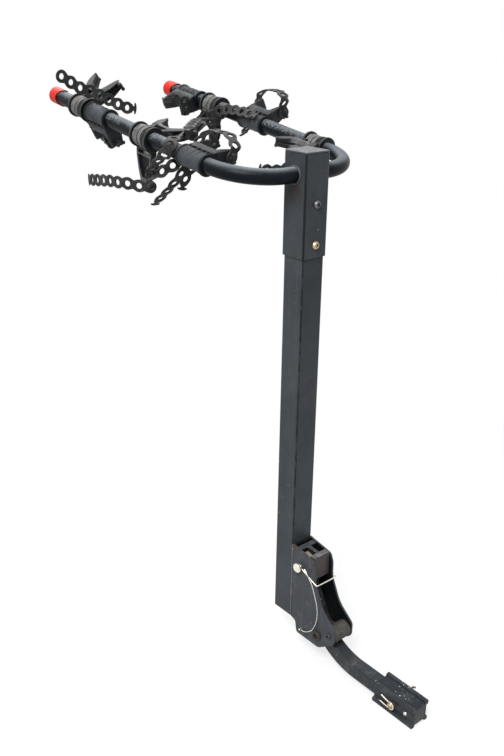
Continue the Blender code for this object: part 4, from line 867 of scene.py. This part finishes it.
def socket_bolt(shaft, head, height, seat, tip, axis, centre):
    """A button head with a real hexagonal socket, and its shaft; the head points to minus."""
    top = seat - height
    socket = head * 0.46
    floor = seat - height * 0.35
    body = turned([(floor, 0, 0), (floor, socket, 0), (top, socket, 0.3), (top, head * 0.7, 1.2),
                   (floor, head, 1.2), (seat, head, 0.3), (seat, shaft, 0), (tip, shaft, 0.8),
                   (tip, 0, 0)], axis, centre)
    points = hexagon(1.72 * socket, centre, 0.2)
    grip = pipe(circle(socket * 1.03, len(points), centre), points, top + 0.5, floor + 0.1, axis, 0.05)
    return [body, grip]


# Cradles, each in its own frame: Y along the arm, Z the way it points


def hook(axis_y, height, root):
    """A strap's post with a cross bar of two lobes; root is where it starts on the cradle."""
    bar = axis_y - 6.8
    stem = turned([(bar + 1, 0, 0), (bar + 1, 3.2, 0.6), (bar + 4, 3.6, 1), (bar + 5.3, STUD_RADIUS, 0.6),
                   (root, STUD_RADIUS, 0), (root, 0, 0)], "y", (0, height))
    lobes = both_sides([(-10.5, 0, 0), (-10.5, 3.4, 2), (-6.5, 4.4, 3), (-3, 2.6, 1.5)])
    ring = turned([(bar - 3.6, 1.3, 0.2), (bar - 3.6, 2.5, 0.4), (bar, 2.7, 0), (bar, 1.3, 0)],
                  "y", (0, height), 24, ring=True)
    return [stem, turned(lobes, "x", (bar, height), 28), ring]


def saddle_shapes():
    half = SADDLE_LENGTH / 2
    rim = half - 5
    wide = SADDLE_RADIUS + SADDLE_RIM
    shapes = [turned(both_sides([(-half, BORE_RADIUS, 0.6), (-half, wide, 1.2), (-rim, wide, 1),
                                 (1 - rim, SADDLE_RADIUS, 0.6)]), segments=56, ring=True)]
    end = half - 1
    inside = end - HORN_THICKNESS
    trough = rounded(both_sides([(-end, 14, 0), (-end, HORN_HEIGHT, 3), (-inside, HORN_HEIGHT, 3),
                                 (3 - inside, 27, 12)]))
    flat = SADDLE_WIDTH / 2
    shapes.append(narrowed(prism(trough, -flat, flat, edge=1.5), 36, HORN_HEIGHT))
    lip = rounded(both_sides([(end - 2, 24, 2), (end - 2, 29.5, 2)]))
    shapes += [prism(lip, side * flat, side * (flat - 3), edge=0.8) for side in (-1, 1)]
    fin = rounded(both_sides([(flat - 1, 25, 1), (20.6, -4, 4), (15.6, -14, 0)]))
    for k in (-1.5, -0.5, 0.5, 1.5):
        hollow = prism(circle(BORE_RADIUS, 56), -2 * half, 2 * half, "y", 0)
        shapes.append(carved(prism(fin, k * FIN_PITCH - 1.2, k * FIN_PITCH + 1.2, "y", 0.5), hollow))
    shapes += hook(-half - 4.5, HORN_HEIGHT - 8, 2 - half)
    far, height = half + 6.5, HORN_HEIGHT - 6
    return shapes + [rod(3.6, half - 3, far, "y", (0, height)), rod(2.2, -11, 11, "x", (far, height), 1.2)]


def narrowed(mesh, low=46, high=PRONG_HEIGHT):
    """A cradle's shape made narrower towards its tip."""
    for vertex in mesh.verts:
        share = min(max((vertex.co.z - low) / (high - low), 0.0), 1.0)
        vertex.co.x *= 1 - (1 - TIP_SHARE) * share
    return mesh


def prong_side(top, spread=PRONG_SPREAD):
    """One prong of a cage's V, from its middle to the collar."""
    return [(19, 50, 8), (spread - 7, top - 3, 3), (spread, top + 3, 3), (spread + 4, top - 4, 3),
            (spread + 2, 61, 28), (32.2, 36.4, 2), (21, 39, 3)]


def collar_shape():
    """The collar's ribs, bands and grooves between its two flanges."""
    half = COLLAR_LENGTH / 2
    low, band, rib = COLLAR_RADIUS - 0.6, COLLAR_RADIUS + 2, COLLAR_RADIUS + COLLAR_RIB
    places = [(-half, 5 - half, rib + 2), (-20, -17, rib), (-13.5, -10.5, rib), (-7.5, 2, band),
              (4.5, half - 7.5, band), (half - 5, half, rib + 2)]
    steps = [(-half, BORE_RADIUS)]
    for start, end, radius in places:
        steps += [(start, low), (start, radius), (end, radius), (end, low)]
    steps = steps[:1] + steps[2:-1] + [(half, BORE_RADIUS)]
    return turned([(along, radius, 0.6) for along, radius in steps], segments=56, ring=True)


def lattice(wide, top, sunk):
    """The bars and the crossed ribs in the sunk outer side of the near prong."""
    low, high = Vector((-41, 53)), Vector((-PRONG_SPREAD - 2.6, top - 3))
    way = (high - low).normalized()
    out = Vector((-way.y, way.x))
    shapes = []
    for share in (0.02, 0.97):
        spot = low.lerp(high, share)
        ends = [spot + out - way * 1.5, spot - out * 7 - way * 1.5, spot - out * 7 + way * 1.5,
                spot + out + way * 1.5]
        shapes.append(prism(ends, 1 - wide, wide - 1, edge=0.4))
    middle = low.lerp(high, 0.5)
    length = (high - low).length
    plane = Matrix.Translation((0, *middle)) @ Matrix(((1, 0, 0), (0, way.x, out.x),
                                                       (0, way.y, out.y))).to_4x4()
    lean = math.atan2(length * 0.92, 2 * wide - 3)
    reach = length * 0.46 / math.sin(lean)
    for turn in (lean, -lean):
        bar = prism([(-reach, -1), (reach, -1), (reach, 1), (-reach, 1)], -sunk, -0.8, "z", 0.4)
        shapes.append(moved(bar, plane @ Matrix.Rotation(turn, 4, "Z")))
    return shapes


def cage_shapes(hand):
    top = PRONG_HEIGHT
    wide = PRONG_WIDTH / 2
    groove = 2.2
    sunk = 5
    far = prong_side(top - PRONG_STEP)
    near = [(-s, n, r) for s, n, r in prong_side(top)[::-1]]
    cradle = rounded([(0, 47, 0), *far, *near])
    # The far prong is solid; the near one has its outer side sunk between two walls.
    side = sunk - PRONG_SPREAD
    near[1:4] = [(sunk - 32.2, 37.6, 2), (side - 2, 61, 24), (side - 4, top - 6, 2)]
    core = rounded([(0, 47, 0), *far, *near])
    shapes = [prism(core, 0.4 - wide, -groove, edge=1.2), prism(core, groove, wide - 0.4, edge=1.2),
              prism(inset(core, 2.6), -groove - 1, groove + 1, edge=0.2), *lattice(wide, top, sunk)]
    shapes += [prism(cradle, side * wide, side * (wide - 3), edge=1) for side in (-1, 1)]
    shapes = [narrowed(shape) for shape in shapes] + [collar_shape()]
    foot = [(12, 12, 0), (12, 27.5, 2), (19, 39, 2), (20, 44, 0), (33, 42, 0), (26.5, 28, 12),
            (26.5, 12, 0)]
    for side in (-1, 1):
        drawn = rounded([(side * s, n, r) for s, n, r in foot])
        shapes.append(prism(drawn, 0.15 - wide, wide - 0.15, edge=1.2))
    bar = both_sides([(-11, 0, 0), (-11, 3.4, 2.2), (-5.5, 3.8, 1.6), (-4, 2.6, 0.8)])
    shapes.append(turned(bar, "x", (PRONG_SPREAD - 1, top - PRONG_STEP), 28))
    shapes += hook(-PRONG_SPREAD - 5.5, top - 7, 3 - PRONG_SPREAD)
    turn = Matrix.Rotation(hand * WISHBONE_ANGLE, 4, "Y")
    return shapes + [moved(shape, turn) for shape in wishbone_shapes()]


def wishbone_shapes():
    """Two legs that meet at the anti-sway post: rims round a sunk web, with a gap by the collar."""
    half = COLLAR_LENGTH / 2 - 2
    deep = WISHBONE_WIDTH / 2
    outer = rounded(both_sides([(half, 15.1, 0), (half, 40, 30), (19, 70, 40), (9, WISHBONE_LENGTH, 2)]))
    recess = rounded(both_sides([(23.4, 38.5, 3), (16, 69, 34), (6.4, 87, 2.5)]))
    opening = rounded(both_sides([(22.5, 27.5, 2), (22, 36, 2)]))
    cuts = [prism(opening, -2 * deep, 2 * deep, edge=0)]
    cuts += [prism(recess, side * 1.2, side * 2 * deep, edge=0) for side in (-1, 1)]
    post = (0, POST_HEIGHT)
    return [carved(prism(outer, -deep, deep, edge=0), *cuts, edge=0.8),
            turned([(-9, 0, 0), (-9, 8.5, 1), (3, 8.5, 1), (3, 0, 0)], "y", post),
            rod(STUD_RADIUS, -18, -8, "y", post)]


def button_shapes(hand):
    start = -18 - GAP
    post = (0, POST_HEIGHT)
    disc = turned([(start - 1.6, 0, 0), (start - 1.6, 3, 0.6), (start - 4, 4.2, 0.8), (start - 4, 11, 1.2),
                   (start - 2, 12.5, 1), (start, 12.5, 0.4), (start, 0, 0)], "y", post)
    ridge = turned([(start - 4.5, 7, 0.3), (start - 4.5, 8.2, 0.3), (start - 3, 8.2, 0), (start - 3, 7, 0)],
                   "y", post, ring=True)
    turn = Matrix.Rotation(hand * WISHBONE_ANGLE, 4, "Y")
    return [moved(disc, turn), moved(ridge, turn)]


def build_cradles():
    for name, where in SADDLES.items():
        add_piece(f"saddle_{name}", saddle_shapes(), "cradle_plastic", f"saddle_{name}",
                  matrix=arm_frame(*where))
    for name, where in CAGES.items():
        add_piece(f"cage_{name}", cage_shapes(-where[0]), "cage_rubber", f"cage_{name}",
                  matrix=arm_frame(*where))
        add_piece(f"cage_button_{name}", button_shapes(-where[0]), "cage_rubber", f"cage_{name}",
                  look=BUTTON_LOOK, matrix=arm_frame(*where))


# Straps


class Route:
    """A strap's middle line, with the direction of its width along the way."""

    def __init__(self, points, widths):
        hints = [w.normalized() for w in widths]
        self.fine = [(spot, hints[i].lerp(hints[i + 1], share)) for spot, i, share in spline(points, 16)]
        self.marks = [0.0]
        for (p, _), (q, _) in zip(self.fine, self.fine[1:]):
            self.marks.append(self.marks[-1] + (q - p).length)
        last = len(self.fine) - 1
        self.ways = [(self.fine[min(i + 2, last)][0] - self.fine[max(i - 2, 0)][0]).normalized()
                     for i in range(last + 1)]

    def point(self, distance, across, out):
        """The place of a point of the strap, from its distances along, across and out of it."""
        i = 0
        while i < len(self.marks) - 2 and self.marks[i + 1] < distance:
            i += 1
        (p, w), (q, v) = self.fine[i], self.fine[i + 1]
        share = (distance - self.marks[i]) / (self.marks[i + 1] - self.marks[i])
        within = min(max(share, 0.0), 1.0)
        along = self.ways[i].lerp(self.ways[i + 1], within).normalized()
        width = w.lerp(v, within)
        width = (width - along * width.dot(along)).normalized()
        return p + (q - p) * share + width * across + along.cross(width) * out


def eyelet_shape(route, centre):
    """The raised rim round one hole of a strap, on both faces."""
    half = STRAP_THICKNESS / 2
    hole = STRAP_HOLE / 2 - 0.15
    raised = half + 0.45
    upper = [(hole, half), (hole + 0.4, raised), (hole + 1.4, raised), (hole + 1.9, half - 0.1)]
    profile = upper + [(reach, -height) for reach, height in upper[::-1]]
    loops = []
    for k in range(28):
        angle = math.tau * k / 28
        loops.append([route.point(centre + reach * math.cos(angle), reach * math.sin(angle), height)
                      for reach, height in profile])
    return loft(loops, ring=True)


def strap_shapes(route, holes, start):
    """One rubber band: rings in a row that run into each other, with a mushroom-shaped end."""
    half = STRAP_THICKNESS / 2
    soft = 0.9
    rim = [(soft, half), (0.3 * soft, half - 0.3 * soft), (0, half - soft)]
    rim += [(depth, -height) for depth, height in rim[::-1]]
    mesh = bmesh.new()
    known = {}

    def corner(spot, inward, depth, height):
        u, v = spot + inward * depth
        key = (round(u * 1e3), round(v * 1e3), round(height * 1e3))
        if key not in known:
            known[key] = mesh.verts.new(route.point(start + u, v, height))
        return known[key]

    def face(*spots):
        corners = list(dict.fromkeys(corner(*spot) for spot in spots))
        if len(corners) > 2:
            mesh.faces.new(corners)

    def wall(a, b):
        """The rounded edge between two (place, inward) points of an outline."""
        for (d, z), (e, y) in zip(rim, rim[1:]):
            face((*a, d, z), (*b, d, z), (*b, e, y), (*a, e, y))

    def panel(*spots):
        for depth, height in (rim[0], rim[-1]):
            face(*((*spot, depth, height) for spot in spots))

    def width(u):
        swell = abs(math.cos(math.pi * u / STRAP_PITCH)) ** 1.2
        return STRAP_NECK / 2 + (STRAP_WIDTH - STRAP_NECK) / 2 * swell

    still = Vector((0.0, 0.0))
    middle = STRAP_PITCH / 2
    across = [1.0, 0.5, 0.0, -0.5, -1.0]
    upper = [Vector((middle * k / 7, width(middle * k / 7))) for k in range(8)]
    right = upper + [Vector((middle, share * STRAP_NECK / 2)) for share in across[1:-1]]
    right += [Vector((u, -v)) for u, v in upper[::-1]]
    left = [Vector((-u, -v)) for u, v in right[1:-1]]
    round_end = [Vector((-math.sin(math.pi * k / 14), -math.cos(math.pi * k / 14))) * STRAP_WIDTH / 2
                 for k in range(1, 14)]
    for cell in range(holes):
        outline = right + (left if cell else round_end)
        centre = Vector((cell * STRAP_PITCH, 0.0))
        count = len(outline)
        edge, eye = [], []
        for i, spot in enumerate(outline):
            flank = (outline[(i + 1) % count] - outline[i - 1]).normalized()
            inward = Vector((flank.y, -flank.x))
            if abs(abs(spot.x) - middle) < 1e-6:
                at_neck = abs(spot.y) < STRAP_NECK / 2 - 1e-6
                inward = still if at_neck else Vector((0.0, -math.copysign(1.0, spot.y)))
            edge.append((centre + spot, inward))
            eye.append((centre + spot.normalized() * STRAP_HOLE / 2, spot.normalized()))
        for i in range(count):
            k = (i + 1) % count
            panel(edge[i], edge[k], eye[k], eye[i])
            wall(eye[i], eye[k])
            if still not in (edge[i][1], edge[k][1]):
                wall(edge[i], edge[k])
    end = (holes - 0.5) * STRAP_PITCH
    stations = [Vector((end + u, v)) for u, v in ((0, STRAP_NECK / 2), *MUSHROOM)]
    last = len(stations) - 1

    def rib(i, share):
        spot = stations[i]
        inward = Vector((-1.0, 0.0))
        if i == 0:
            inward = Vector((0.0, -share)) if abs(share) == 1 else still
        elif i < last:
            flank = (stations[i + 1] - stations[i - 1]).normalized()
            inward = Vector((flank.y, -flank.x * share if abs(share) == 1 else 0.0))
        return Vector((spot.x, spot.y * share)), inward

    for i in range(last):
        for one, two in zip(across, across[1:]):
            panel(rib(i, one), rib(i + 1, one), rib(i + 1, two), rib(i, two))
        for side in (1.0, -1.0):
            wall(rib(i, side), rib(i + 1, side))
    for one, two in zip(across, across[1:]):
        wall(rib(last, one), rib(last, two))
    return [mesh] + [eyelet_shape(route, start + cell * STRAP_PITCH) for cell in range(holes)]


def build_straps():
    for name, (kind, cradle, post, holes, stops) in STRAPS.items():
        where = (SADDLES if kind == "saddle" else CAGES)[cradle]
        origin = arm_frame(*where[:2]).translation
        points = [origin + Vector(spot) for spot, _ in stops]
        widths = [Vector(width) for _, width in stops]
        start = 0.0
        if post:
            start = POST_REACH
            turn = -where[0] * WISHBONE_ANGLE if post == "button" else 0.0
            holder = arm_frame(*where) @ Matrix.Rotation(turn, 4, "Y")
            centre = holder @ Vector(POSTS[post])
            axis = holder.to_3x3() @ Vector((0, 1, 0))
            way = points[0] - centre
            way = (way - axis * way.dot(axis)).normalized()
            flat = axis.cross(way)
            if flat.dot(widths[0]) < 0:
                flat = -flat
            points = [centre - way * POST_REACH, centre, centre + way * POST_REACH] + points
            widths = [flat, flat, flat] + widths
        body = "mast" if name == "right_inner_loose" else f"{kind}_{cradle}"
        add_piece(f"strap_{name}", strap_shapes(Route(points, widths), holes, start), "strap_rubber",
                  body, sharp=50.0)


# Lower end


def shank_line(step_angle=2.0):
    """The shank's centre line: level, bent up, then straight."""
    points = [Vector((0, 0, 0)), Vector((0, SHANK_STRAIGHT * 0.999, 0))]
    steps = round(math.degrees(SHANK_BEND_ANGLE) / step_angle)
    r = SHANK_BEND_RADIUS
    for k in range(steps + 1):
        angle = SHANK_BEND_ANGLE * k / steps
        points.append(Vector((0, SHANK_STRAIGHT + r * math.sin(angle), r - r * math.cos(angle))))
    rise = Vector((0, math.cos(SHANK_BEND_ANGLE), math.sin(SHANK_BEND_ANGLE)))
    return points + [points[-1] + rise * SHANK_RISE]


def build_shank():
    line = shank_line()
    line.insert(1, Vector((0, 0.5, 0)))
    bar = sweep(line, rounded_square(SHANK_HALF, 2.5, 15.0), Vector((1, 0, 0)), 0.5)
    add_piece("shank_bar", [bar], "powder_coat", "root", look=SHANK_LOOK)


def adapter_outline():
    floor = ADAPTER_HALF - ADAPTER_RECESS
    edge = 1.5
    half = ADAPTER_HALF
    rib = half - 9
    right = [(0.0, floor, 0), (rib - edge, floor, edge), (rib, half, edge), (half, half, edge),
             (half, rib, edge), (floor, rib - edge, edge), (floor, edge - rib, edge), (half, -rib, edge),
             (half, -half, edge), (rib, -half, edge), (rib - edge, -floor, edge), (0.0, -floor, 0)]
    return rounded(right + [(-x, z, r) for x, z, r in right[-2:0:-1]], 22.5)


def build_adapter():
    bore = SHANK_HALF + GAP
    cuts = [prism(rounded_square(bore, 2.5, 22.5), -bore, ADAPTER_LENGTH + bore, "y", 0),
            rod(HITCH_PIN_RADIUS + GAP, -2 * ADAPTER_HALF, 2 * ADAPTER_HALF, "x", (HITCH_PIN_Y, 0), 0)]
    boss = ADAPTER_HALF - 4.2
    cuts += [rod(2.2, -5, 18, "y", (x, -boss), 0, 24) for x in (-boss, boss)]
    shapes = [carved(prism(adapter_outline(), 0, ADAPTER_LENGTH, "y", 0.7), *cuts)]
    floor = ADAPTER_HALF - ADAPTER_RECESS
    for x in (-8, -2.7, 2.7, 8):
        ridge = rounded([(x - 0.9, floor - 1, 0), (x + 0.9, floor - 1, 0), (x + 0.7, floor + 1.1, 0.5),
                         (x - 0.7, floor + 1.1, 0.5)])
        shapes.append(prism(ridge, 0.8, ADAPTER_LENGTH - 0.8, "y", 0.3))
    add_piece("hitch_adapter", shapes, "black_extrusion", "root", sharp=30.0)
    screw = socket_bolt(2.5, 4.6, 3, -floor - GAP, -SHANK_HALF - GAP, "x", (SET_SCREW_Y, -2))
    add_piece("adapter_set_screw", screw, "dark_steel", "root", look=SCREW_LOOK)


def build_hitch_pin():
    reach = 33.0
    y = HITCH_PIN_Y
    pin = turned(both_sides([(-reach, 0, 0), (-reach, HITCH_PIN_RADIUS - 2, 0.5),
                             (2 - reach, HITCH_PIN_RADIUS, 0.6)]), "x", (y, 0.0))
    handle = [(reach - 4, y, 0), (reach + 3, y, 1), (reach + 6, y, 6), (reach + 6, y - 3, 13),
              (reach + 5, y - 10, 18)]
    add_piece("hitch_pin", [pin, tube(smooth_route(handle, 1), 2.4, 20)], "brassy_zinc", "hitch_pin")
    loop = HITCH_PIN_RADIUS + BAIL_WIRE + GAP
    x = 4 - reach
    clip = [(x, y + 28, -5), (x, y + 14, -7)]
    for k in range(25):
        angle = math.radians(-60 - 10 * k)
        clip.append((x, y + loop * math.cos(angle), loop * math.sin(angle)))
    clip += [(x, y + 14, 9), (x, y + 26, 12)]
    add_piece("hitch_pin_clip", [tube(smooth_route(clip, 0.8), BAIL_WIRE, 16)], "zinc", "hitch_pin_clip")


def on_mast(corners, step=10.0):
    """An outline from corners (Y, Z, radius) given from the mast's axis and foot."""
    return rounded([(*from_mast(y, z), radius) for y, z, radius in corners], step)


def build_bracket():
    pivot_low = PIVOT_Z - MAST_FOOT - 32
    outline = on_mast([
        (WEB_BACK, BRACKET_HEIGHT, 0), (-96, 185, 13), (-104, 165, 12), (-105, 128, 45), (-131, 72, 70),
        (ROLLER_Y - 19, ROLLER_Z + 20, 14), (ROLLER_Y - 19, ROLLER_Z - 14, 22), (-124, pivot_low, 24),
        (-50, pivot_low, 8), (-45, -6, 5), (WEB_BACK, 0.0, 0)], 6.0)
    shapes = [prism(outline, side * CHEEK_IN, side * CHEEK_OUT, edge=0.9) for side in (-1, 1)]
    back, front = MAST_Y + WEB_BACK, MAST_Y + WEB_BACK - BRACKET_WALL
    half = CHEEK_OUT - 0.1
    web = [(-half, back), (half, back), (half, front), (-half, front)]
    shapes.append(prism(web, MAST_FOOT, MAST_FOOT + BRACKET_HEIGHT, "z", 0.9))
    add_piece("tilt_bracket", shapes, "powder_coat", look=BRACKET_LOOK)
    seams = [weld_seam(side * (CHEEK_OUT + 0.1), back + 0.1, MAST_FOOT + 4, MAST_FOOT + BRACKET_HEIGHT)
             for side in (-1, 1)]
    add_piece("bracket_welds", seams, "powder_coat", look=PALE_WELD_LOOK)


def build_shank_head():
    """The block on the bar's upper end: an H from above, with a pocket on each side."""
    width = CHEEK_IN - GAP
    outline = on_mast([(HEAD_BACK, BRACKET_HEIGHT - 4, 1), (HEAD_FRONT, BRACKET_HEIGHT - 7, 2),
                       (HEAD_FRONT, HEAD_BOTTOM, 2), (HEAD_BACK, HEAD_BOTTOM - 19, 1)])
    pocket = on_mast([(POCKET_FRONT, POCKET_FLOOR, 1.5), (POCKET_BACK, POCKET_FLOOR, 1.5),
                      (POCKET_BACK, 230, 1.5), (POCKET_FRONT, 230, 1.5)])
    cuts = [sweep([p for p in shank_line() if p.y > SHANK_STRAIGHT],
                  rounded_square(SHANK_HALF + GAP, 2.5, 22.5), Vector((1, 0, 0)))]
    cuts += [prism(pocket, side * HEAD_WEB, side * 2 * width, edge=0) for side in (-1, 1)]
    cuts.append(rod(LOCK_PIN_RADIUS + GAP, -2 * width, 2 * width, "x",
                    from_mast(LOCK_PIN_Y, LOCK_PIN_Z), 0))
    block = carved(prism(outline, -width, width, edge=0), *cuts, edge=0.9)
    add_piece("shank_head", [block], "powder_coat", "root", look=HEAD_LOOK)
    front, back, floor = POCKET_FRONT + 9, POCKET_BACK - 2, POCKET_FLOOR
    wedge = on_mast([(front, floor + GAP, 0.8), (back, floor + GAP, 0.8), (back, floor + 10, 1.5),
                     (front, floor + 6, 1.5)])
    for side, name in SIDES:
        shape = prism(wedge, side * (HEAD_WEB + GAP), side * (HEAD_WEB + 9), edge=0.8)
        add_piece(f"head_wedge_{name}", [shape], "pale_plastic", "root")


def build_pivot():
    seat = CHEEK_OUT + GAP
    low, high = SHANK_HALF + GAP, CHEEK_IN - GAP
    bore = PIVOT_RADIUS + GAP
    pivot = (PIVOT_Y, PIVOT_Z)
    add_piece("pivot_bolt", socket_bolt(PIVOT_RADIUS, 13, 6, -seat, seat + 11, "x", pivot), "rusty_steel")
    add_piece("pivot_nut", [nut_shape(23.8, bore, pivot, seat, 10, "x", 1, 0.8)], "rusty_steel")
    for side, name in SIDES:
        spacer = turned([(side * low, bore, 0.5), (side * low, 14, 0.5), (side * high, 14, 0.5),
                         (side * high, bore, 0.5)], "x", pivot, ring=True)
        add_piece(f"pivot_spacer_{name}", [spacer], "worn_steel")
    stop = from_mast(ROLLER_Y, ROLLER_Z)
    roller = turned(both_sides([(-high, 5.3, 0.5), (-high, ROLLER_RADIUS - 1, 1.2),
                                (1.5 - high, ROLLER_RADIUS, 0.8)]), "x", stop, 64, ring=True)
    add_piece("stop_roller", [roller], "worn_steel")
    add_piece("stop_bolt", socket_bolt(5, 8, 4, -seat, seat + 9, "x", stop), "dark_steel")
    add_piece("stop_nut", [nut_shape(15.9, 5.3, stop, seat, 8, "x")], "dark_steel")


def bail_point(x, out, turn=0.0):
    """A point at a distance from the lock pin's axis, in the bail's plane."""
    angle = BAIL_DROP + turn
    y, z = from_mast(LOCK_PIN_Y, LOCK_PIN_Z)
    return (x, y - out * math.cos(angle), z - out * math.sin(angle))


def build_lock_pin():
    coil = LOCK_PIN_RADIUS + GAP + BAIL_WIRE
    side = CHEEK_OUT + GAP + BAIL_WIRE
    pitch = 2.1 * BAIL_WIRE
    coils = 1.25
    head = side + coils * pitch + BAIL_WIRE + GAP
    tip = 44.0
    pin = turned([(-head - 6, 0, 0), (-head - 6, 9, 1), (-head - 4, 11, 1), (-head, 11, 0.6),
                  (-head, LOCK_PIN_RADIUS, 0), (tip - 3, LOCK_PIN_RADIUS, 1),
                  (tip, LOCK_PIN_RADIUS - 2.5, 0.8), (tip, 0, 0)], "x", from_mast(LOCK_PIN_Y, LOCK_PIN_Z))
    add_piece("lock_pin", [pin], "zinc", "lock_pin")
    steps = 60
    path = []
    for k in range(steps + 1):
        left = coils * (steps - k) / steps
        path.append(bail_point(-side - pitch * left, coil, math.tau * left))
    half = [(side, coil + 1), (side, 20), (side, BAIL_REACH - 5), (side - 1.5, BAIL_REACH - 1.5),
            (side - 5, BAIL_REACH)]
    loop = [bail_point(-x, out) for x, out in half] + [bail_point(x, out) for x, out in half[::-1]]
    path += [tuple(p) for p in smooth_route(loop, 1.5)]
    path += [bail_point(side, coil, math.radians(7.6 * k)) for k in range(1, 40)]
    add_piece("pin_bail_wire", [tube(path, BAIL_WIRE, 16)], "zinc", "pin_bail")


def build_lanyard():
    route = [(-CHEEK_OUT - x, *from_mast(y, z)) for x, (y, z) in zip(LANYARD_OUTSIDE, LANYARD_ROUTE)]
    points = [p * MM for p in smooth_route(route, 3)]
    curve = bpy.data.curves.new("lanyard_cable_look", "CURVE")
    curve.dimensions = "3D"
    curve.bevel_depth = CABLE_RADIUS * MM
    curve.bevel_resolution = 4
    curve.use_fill_caps = True
    curve.materials.append(LOOKS["cable_steel"])
    line = curve.splines.new("POLY")
    line.points.add(len(points) - 1)
    for target, point in zip(line.points, points[::-1]):
        target.co = (*point, 1.0)
    line.use_smooth = True
    cable = linked("lanyard_cable_look", curve)
    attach(cable, "mast")
    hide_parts("lanyard_cable")
    top = Vector(route[0])
    way = (top - Vector(route[1])).normalized()
    outline = [(GAP, 1.9), (1.2, 2.4), (3, 2.4), (9.5, 2.4), (11.2, 2.4), (12, 1.8)]
    shape = tube([top + way * along for along, _ in outline], [size for _, size in outline], 24)
    ferrule = add_piece("lanyard_ferrule", [shape], "ferrule_metal")
    anchor = turned([(-CHEEK_OUT - 6, 0, 0), (-CHEEK_OUT - 6, 2.4, 0.8), (-CHEEK_IN + 2, 2.4, 0.5),
                     (-CHEEK_IN + 2, 0, 0)], "x", from_mast(-66, -16))
    add_piece("lanyard_anchor", [anchor], "zinc")


# Stage, in metres


def add_lamp(name, spot, target, size, energy):
    lamp = bpy.data.lights.new(name, "AREA")
    lamp.shape = "DISK"
    lamp.size = size
    lamp.energy = energy
    obj = linked(name, lamp)
    obj.location = spot
    obj.rotation_euler = (Vector(spot) - Vector(target)).to_track_quat("Z", "Y").to_euler()


def seen_share(g):
    """1 for what the camera sees, itself or in a reflection, and 0 for the light that falls."""
    camera, glossy, through = (g.node("LightPath", f"Is {kind} Ray")
                               for kind in ("Camera", "Glossy", "Transmission"))
    return g.math("MAXIMUM", g.math("MAXIMUM", camera, glossy), through)


def build_world(scene):
    """Light from above and little from below; white where it is seen."""
    g = Graph("studio", bpy.data.worlds, "Background")
    scene.world = g.material
    height = g.axis("Z", g.node("TexCoord", "Generated"))
    strength = g.node("MapRange", "Result", {"Value": height, "From Min": -0.15, "From Max": 0.85,
                                             "To Min": SKY_LOW, "To Max": SKY_HIGH})
    g.put(g.shader.inputs["Color"], (0.96, 0.98, 1.0))
    g.put(g.shader.inputs["Strength"], strength)
    white = g.node("Background", 0, {"Color": (1.0, 1.0, 1.0), "Strength": 1.0})
    mix = g.node("MixShader", 0, {0: seen_share(g), 1: g.shader.outputs[0], 2: white})
    g.put(g.tree.nodes["World Output"].inputs["Surface"], mix)


def build_floor():
    """A pale floor: near white where it is seen, with the rack's shadow, and darker for its bounce."""
    mesh = bmesh.new()
    bmesh.ops.create_circle(mesh, cap_ends=True, segments=48, radius=9.0, matrix=Matrix.Translation(
        Vector((0, MAST_Y, -ADAPTER_HALF - 0.5)) * MM))
    data = bpy.data.meshes.new("floor")
    mesh.to_mesh(data)
    mesh.free()
    g = Graph("floor_white")
    seen = seen_share(g)
    g.finish(g.mix(seen, (0.25, 0.25, 0.25), (0.9, 0.9, 0.9)), 0.9, gloss=0.1)
    glow = g.node("Emission", 0, {"Color": (1.0, 1.0, 1.0), "Strength": 1.0})
    shadowed = g.times(g.near((0.0, MAST_Y, -ADAPTER_HALF), 550, 1500), 0.3)
    share = g.times(seen, g.math("SUBTRACT", 1.0, shadowed))
    mix = g.node("MixShader", 0, {0: share, 1: g.shader.outputs[0], 2: glow})
    g.put(g.tree.nodes["Material Output"].inputs["Surface"], mix)
    data.materials.append(g.material)
    linked("floor", data)


def build_stage():
    scene = bpy.context.scene
    scene.view_settings.view_transform = "Standard"
    build_world(scene)
    build_floor()
    middle = (0, MAST_Y * MM, 0.75)
    add_lamp("key", (-1.9, -0.6, 3.2), middle, 1.6, 120.0)
    add_lamp("back", (0.6, 3.4, 2.6), middle, 2.4, 30.0)


def build_camera():
    azimuth, elevation, roll = math.radians(-40.275), math.radians(22.986), math.radians(0.791)
    back = Vector((math.sin(azimuth) * math.cos(elevation), -math.cos(azimuth) * math.cos(elevation),
                   math.sin(elevation)))
    right = (-back).cross(Vector((0, 0, 1))).normalized()
    up = right.cross(-back)
    across = right * math.cos(roll) + up * math.sin(roll)
    upright = up * math.cos(roll) - right * math.sin(roll)
    data = bpy.data.cameras.new("photo_view")
    data.sensor_width = 36.0
    data.lens = 36.0 * 899.18 / 756.0
    camera = linked("photo_view", data)
    camera.matrix_world = Matrix.Translation((-1.2169, -0.8784, 1.3768)) @ Matrix(
        (across, upright, back)).transposed().to_4x4()
    bpy.context.scene.camera = camera


build_camera()
build_lanyard()
build_straps()
build_cradles()
build_arms()
build_mast()
build_bracket()
build_shank_head()
build_pivot()
build_lock_pin()
build_shank()
build_adapter()
build_hitch_pin()
build_stage()
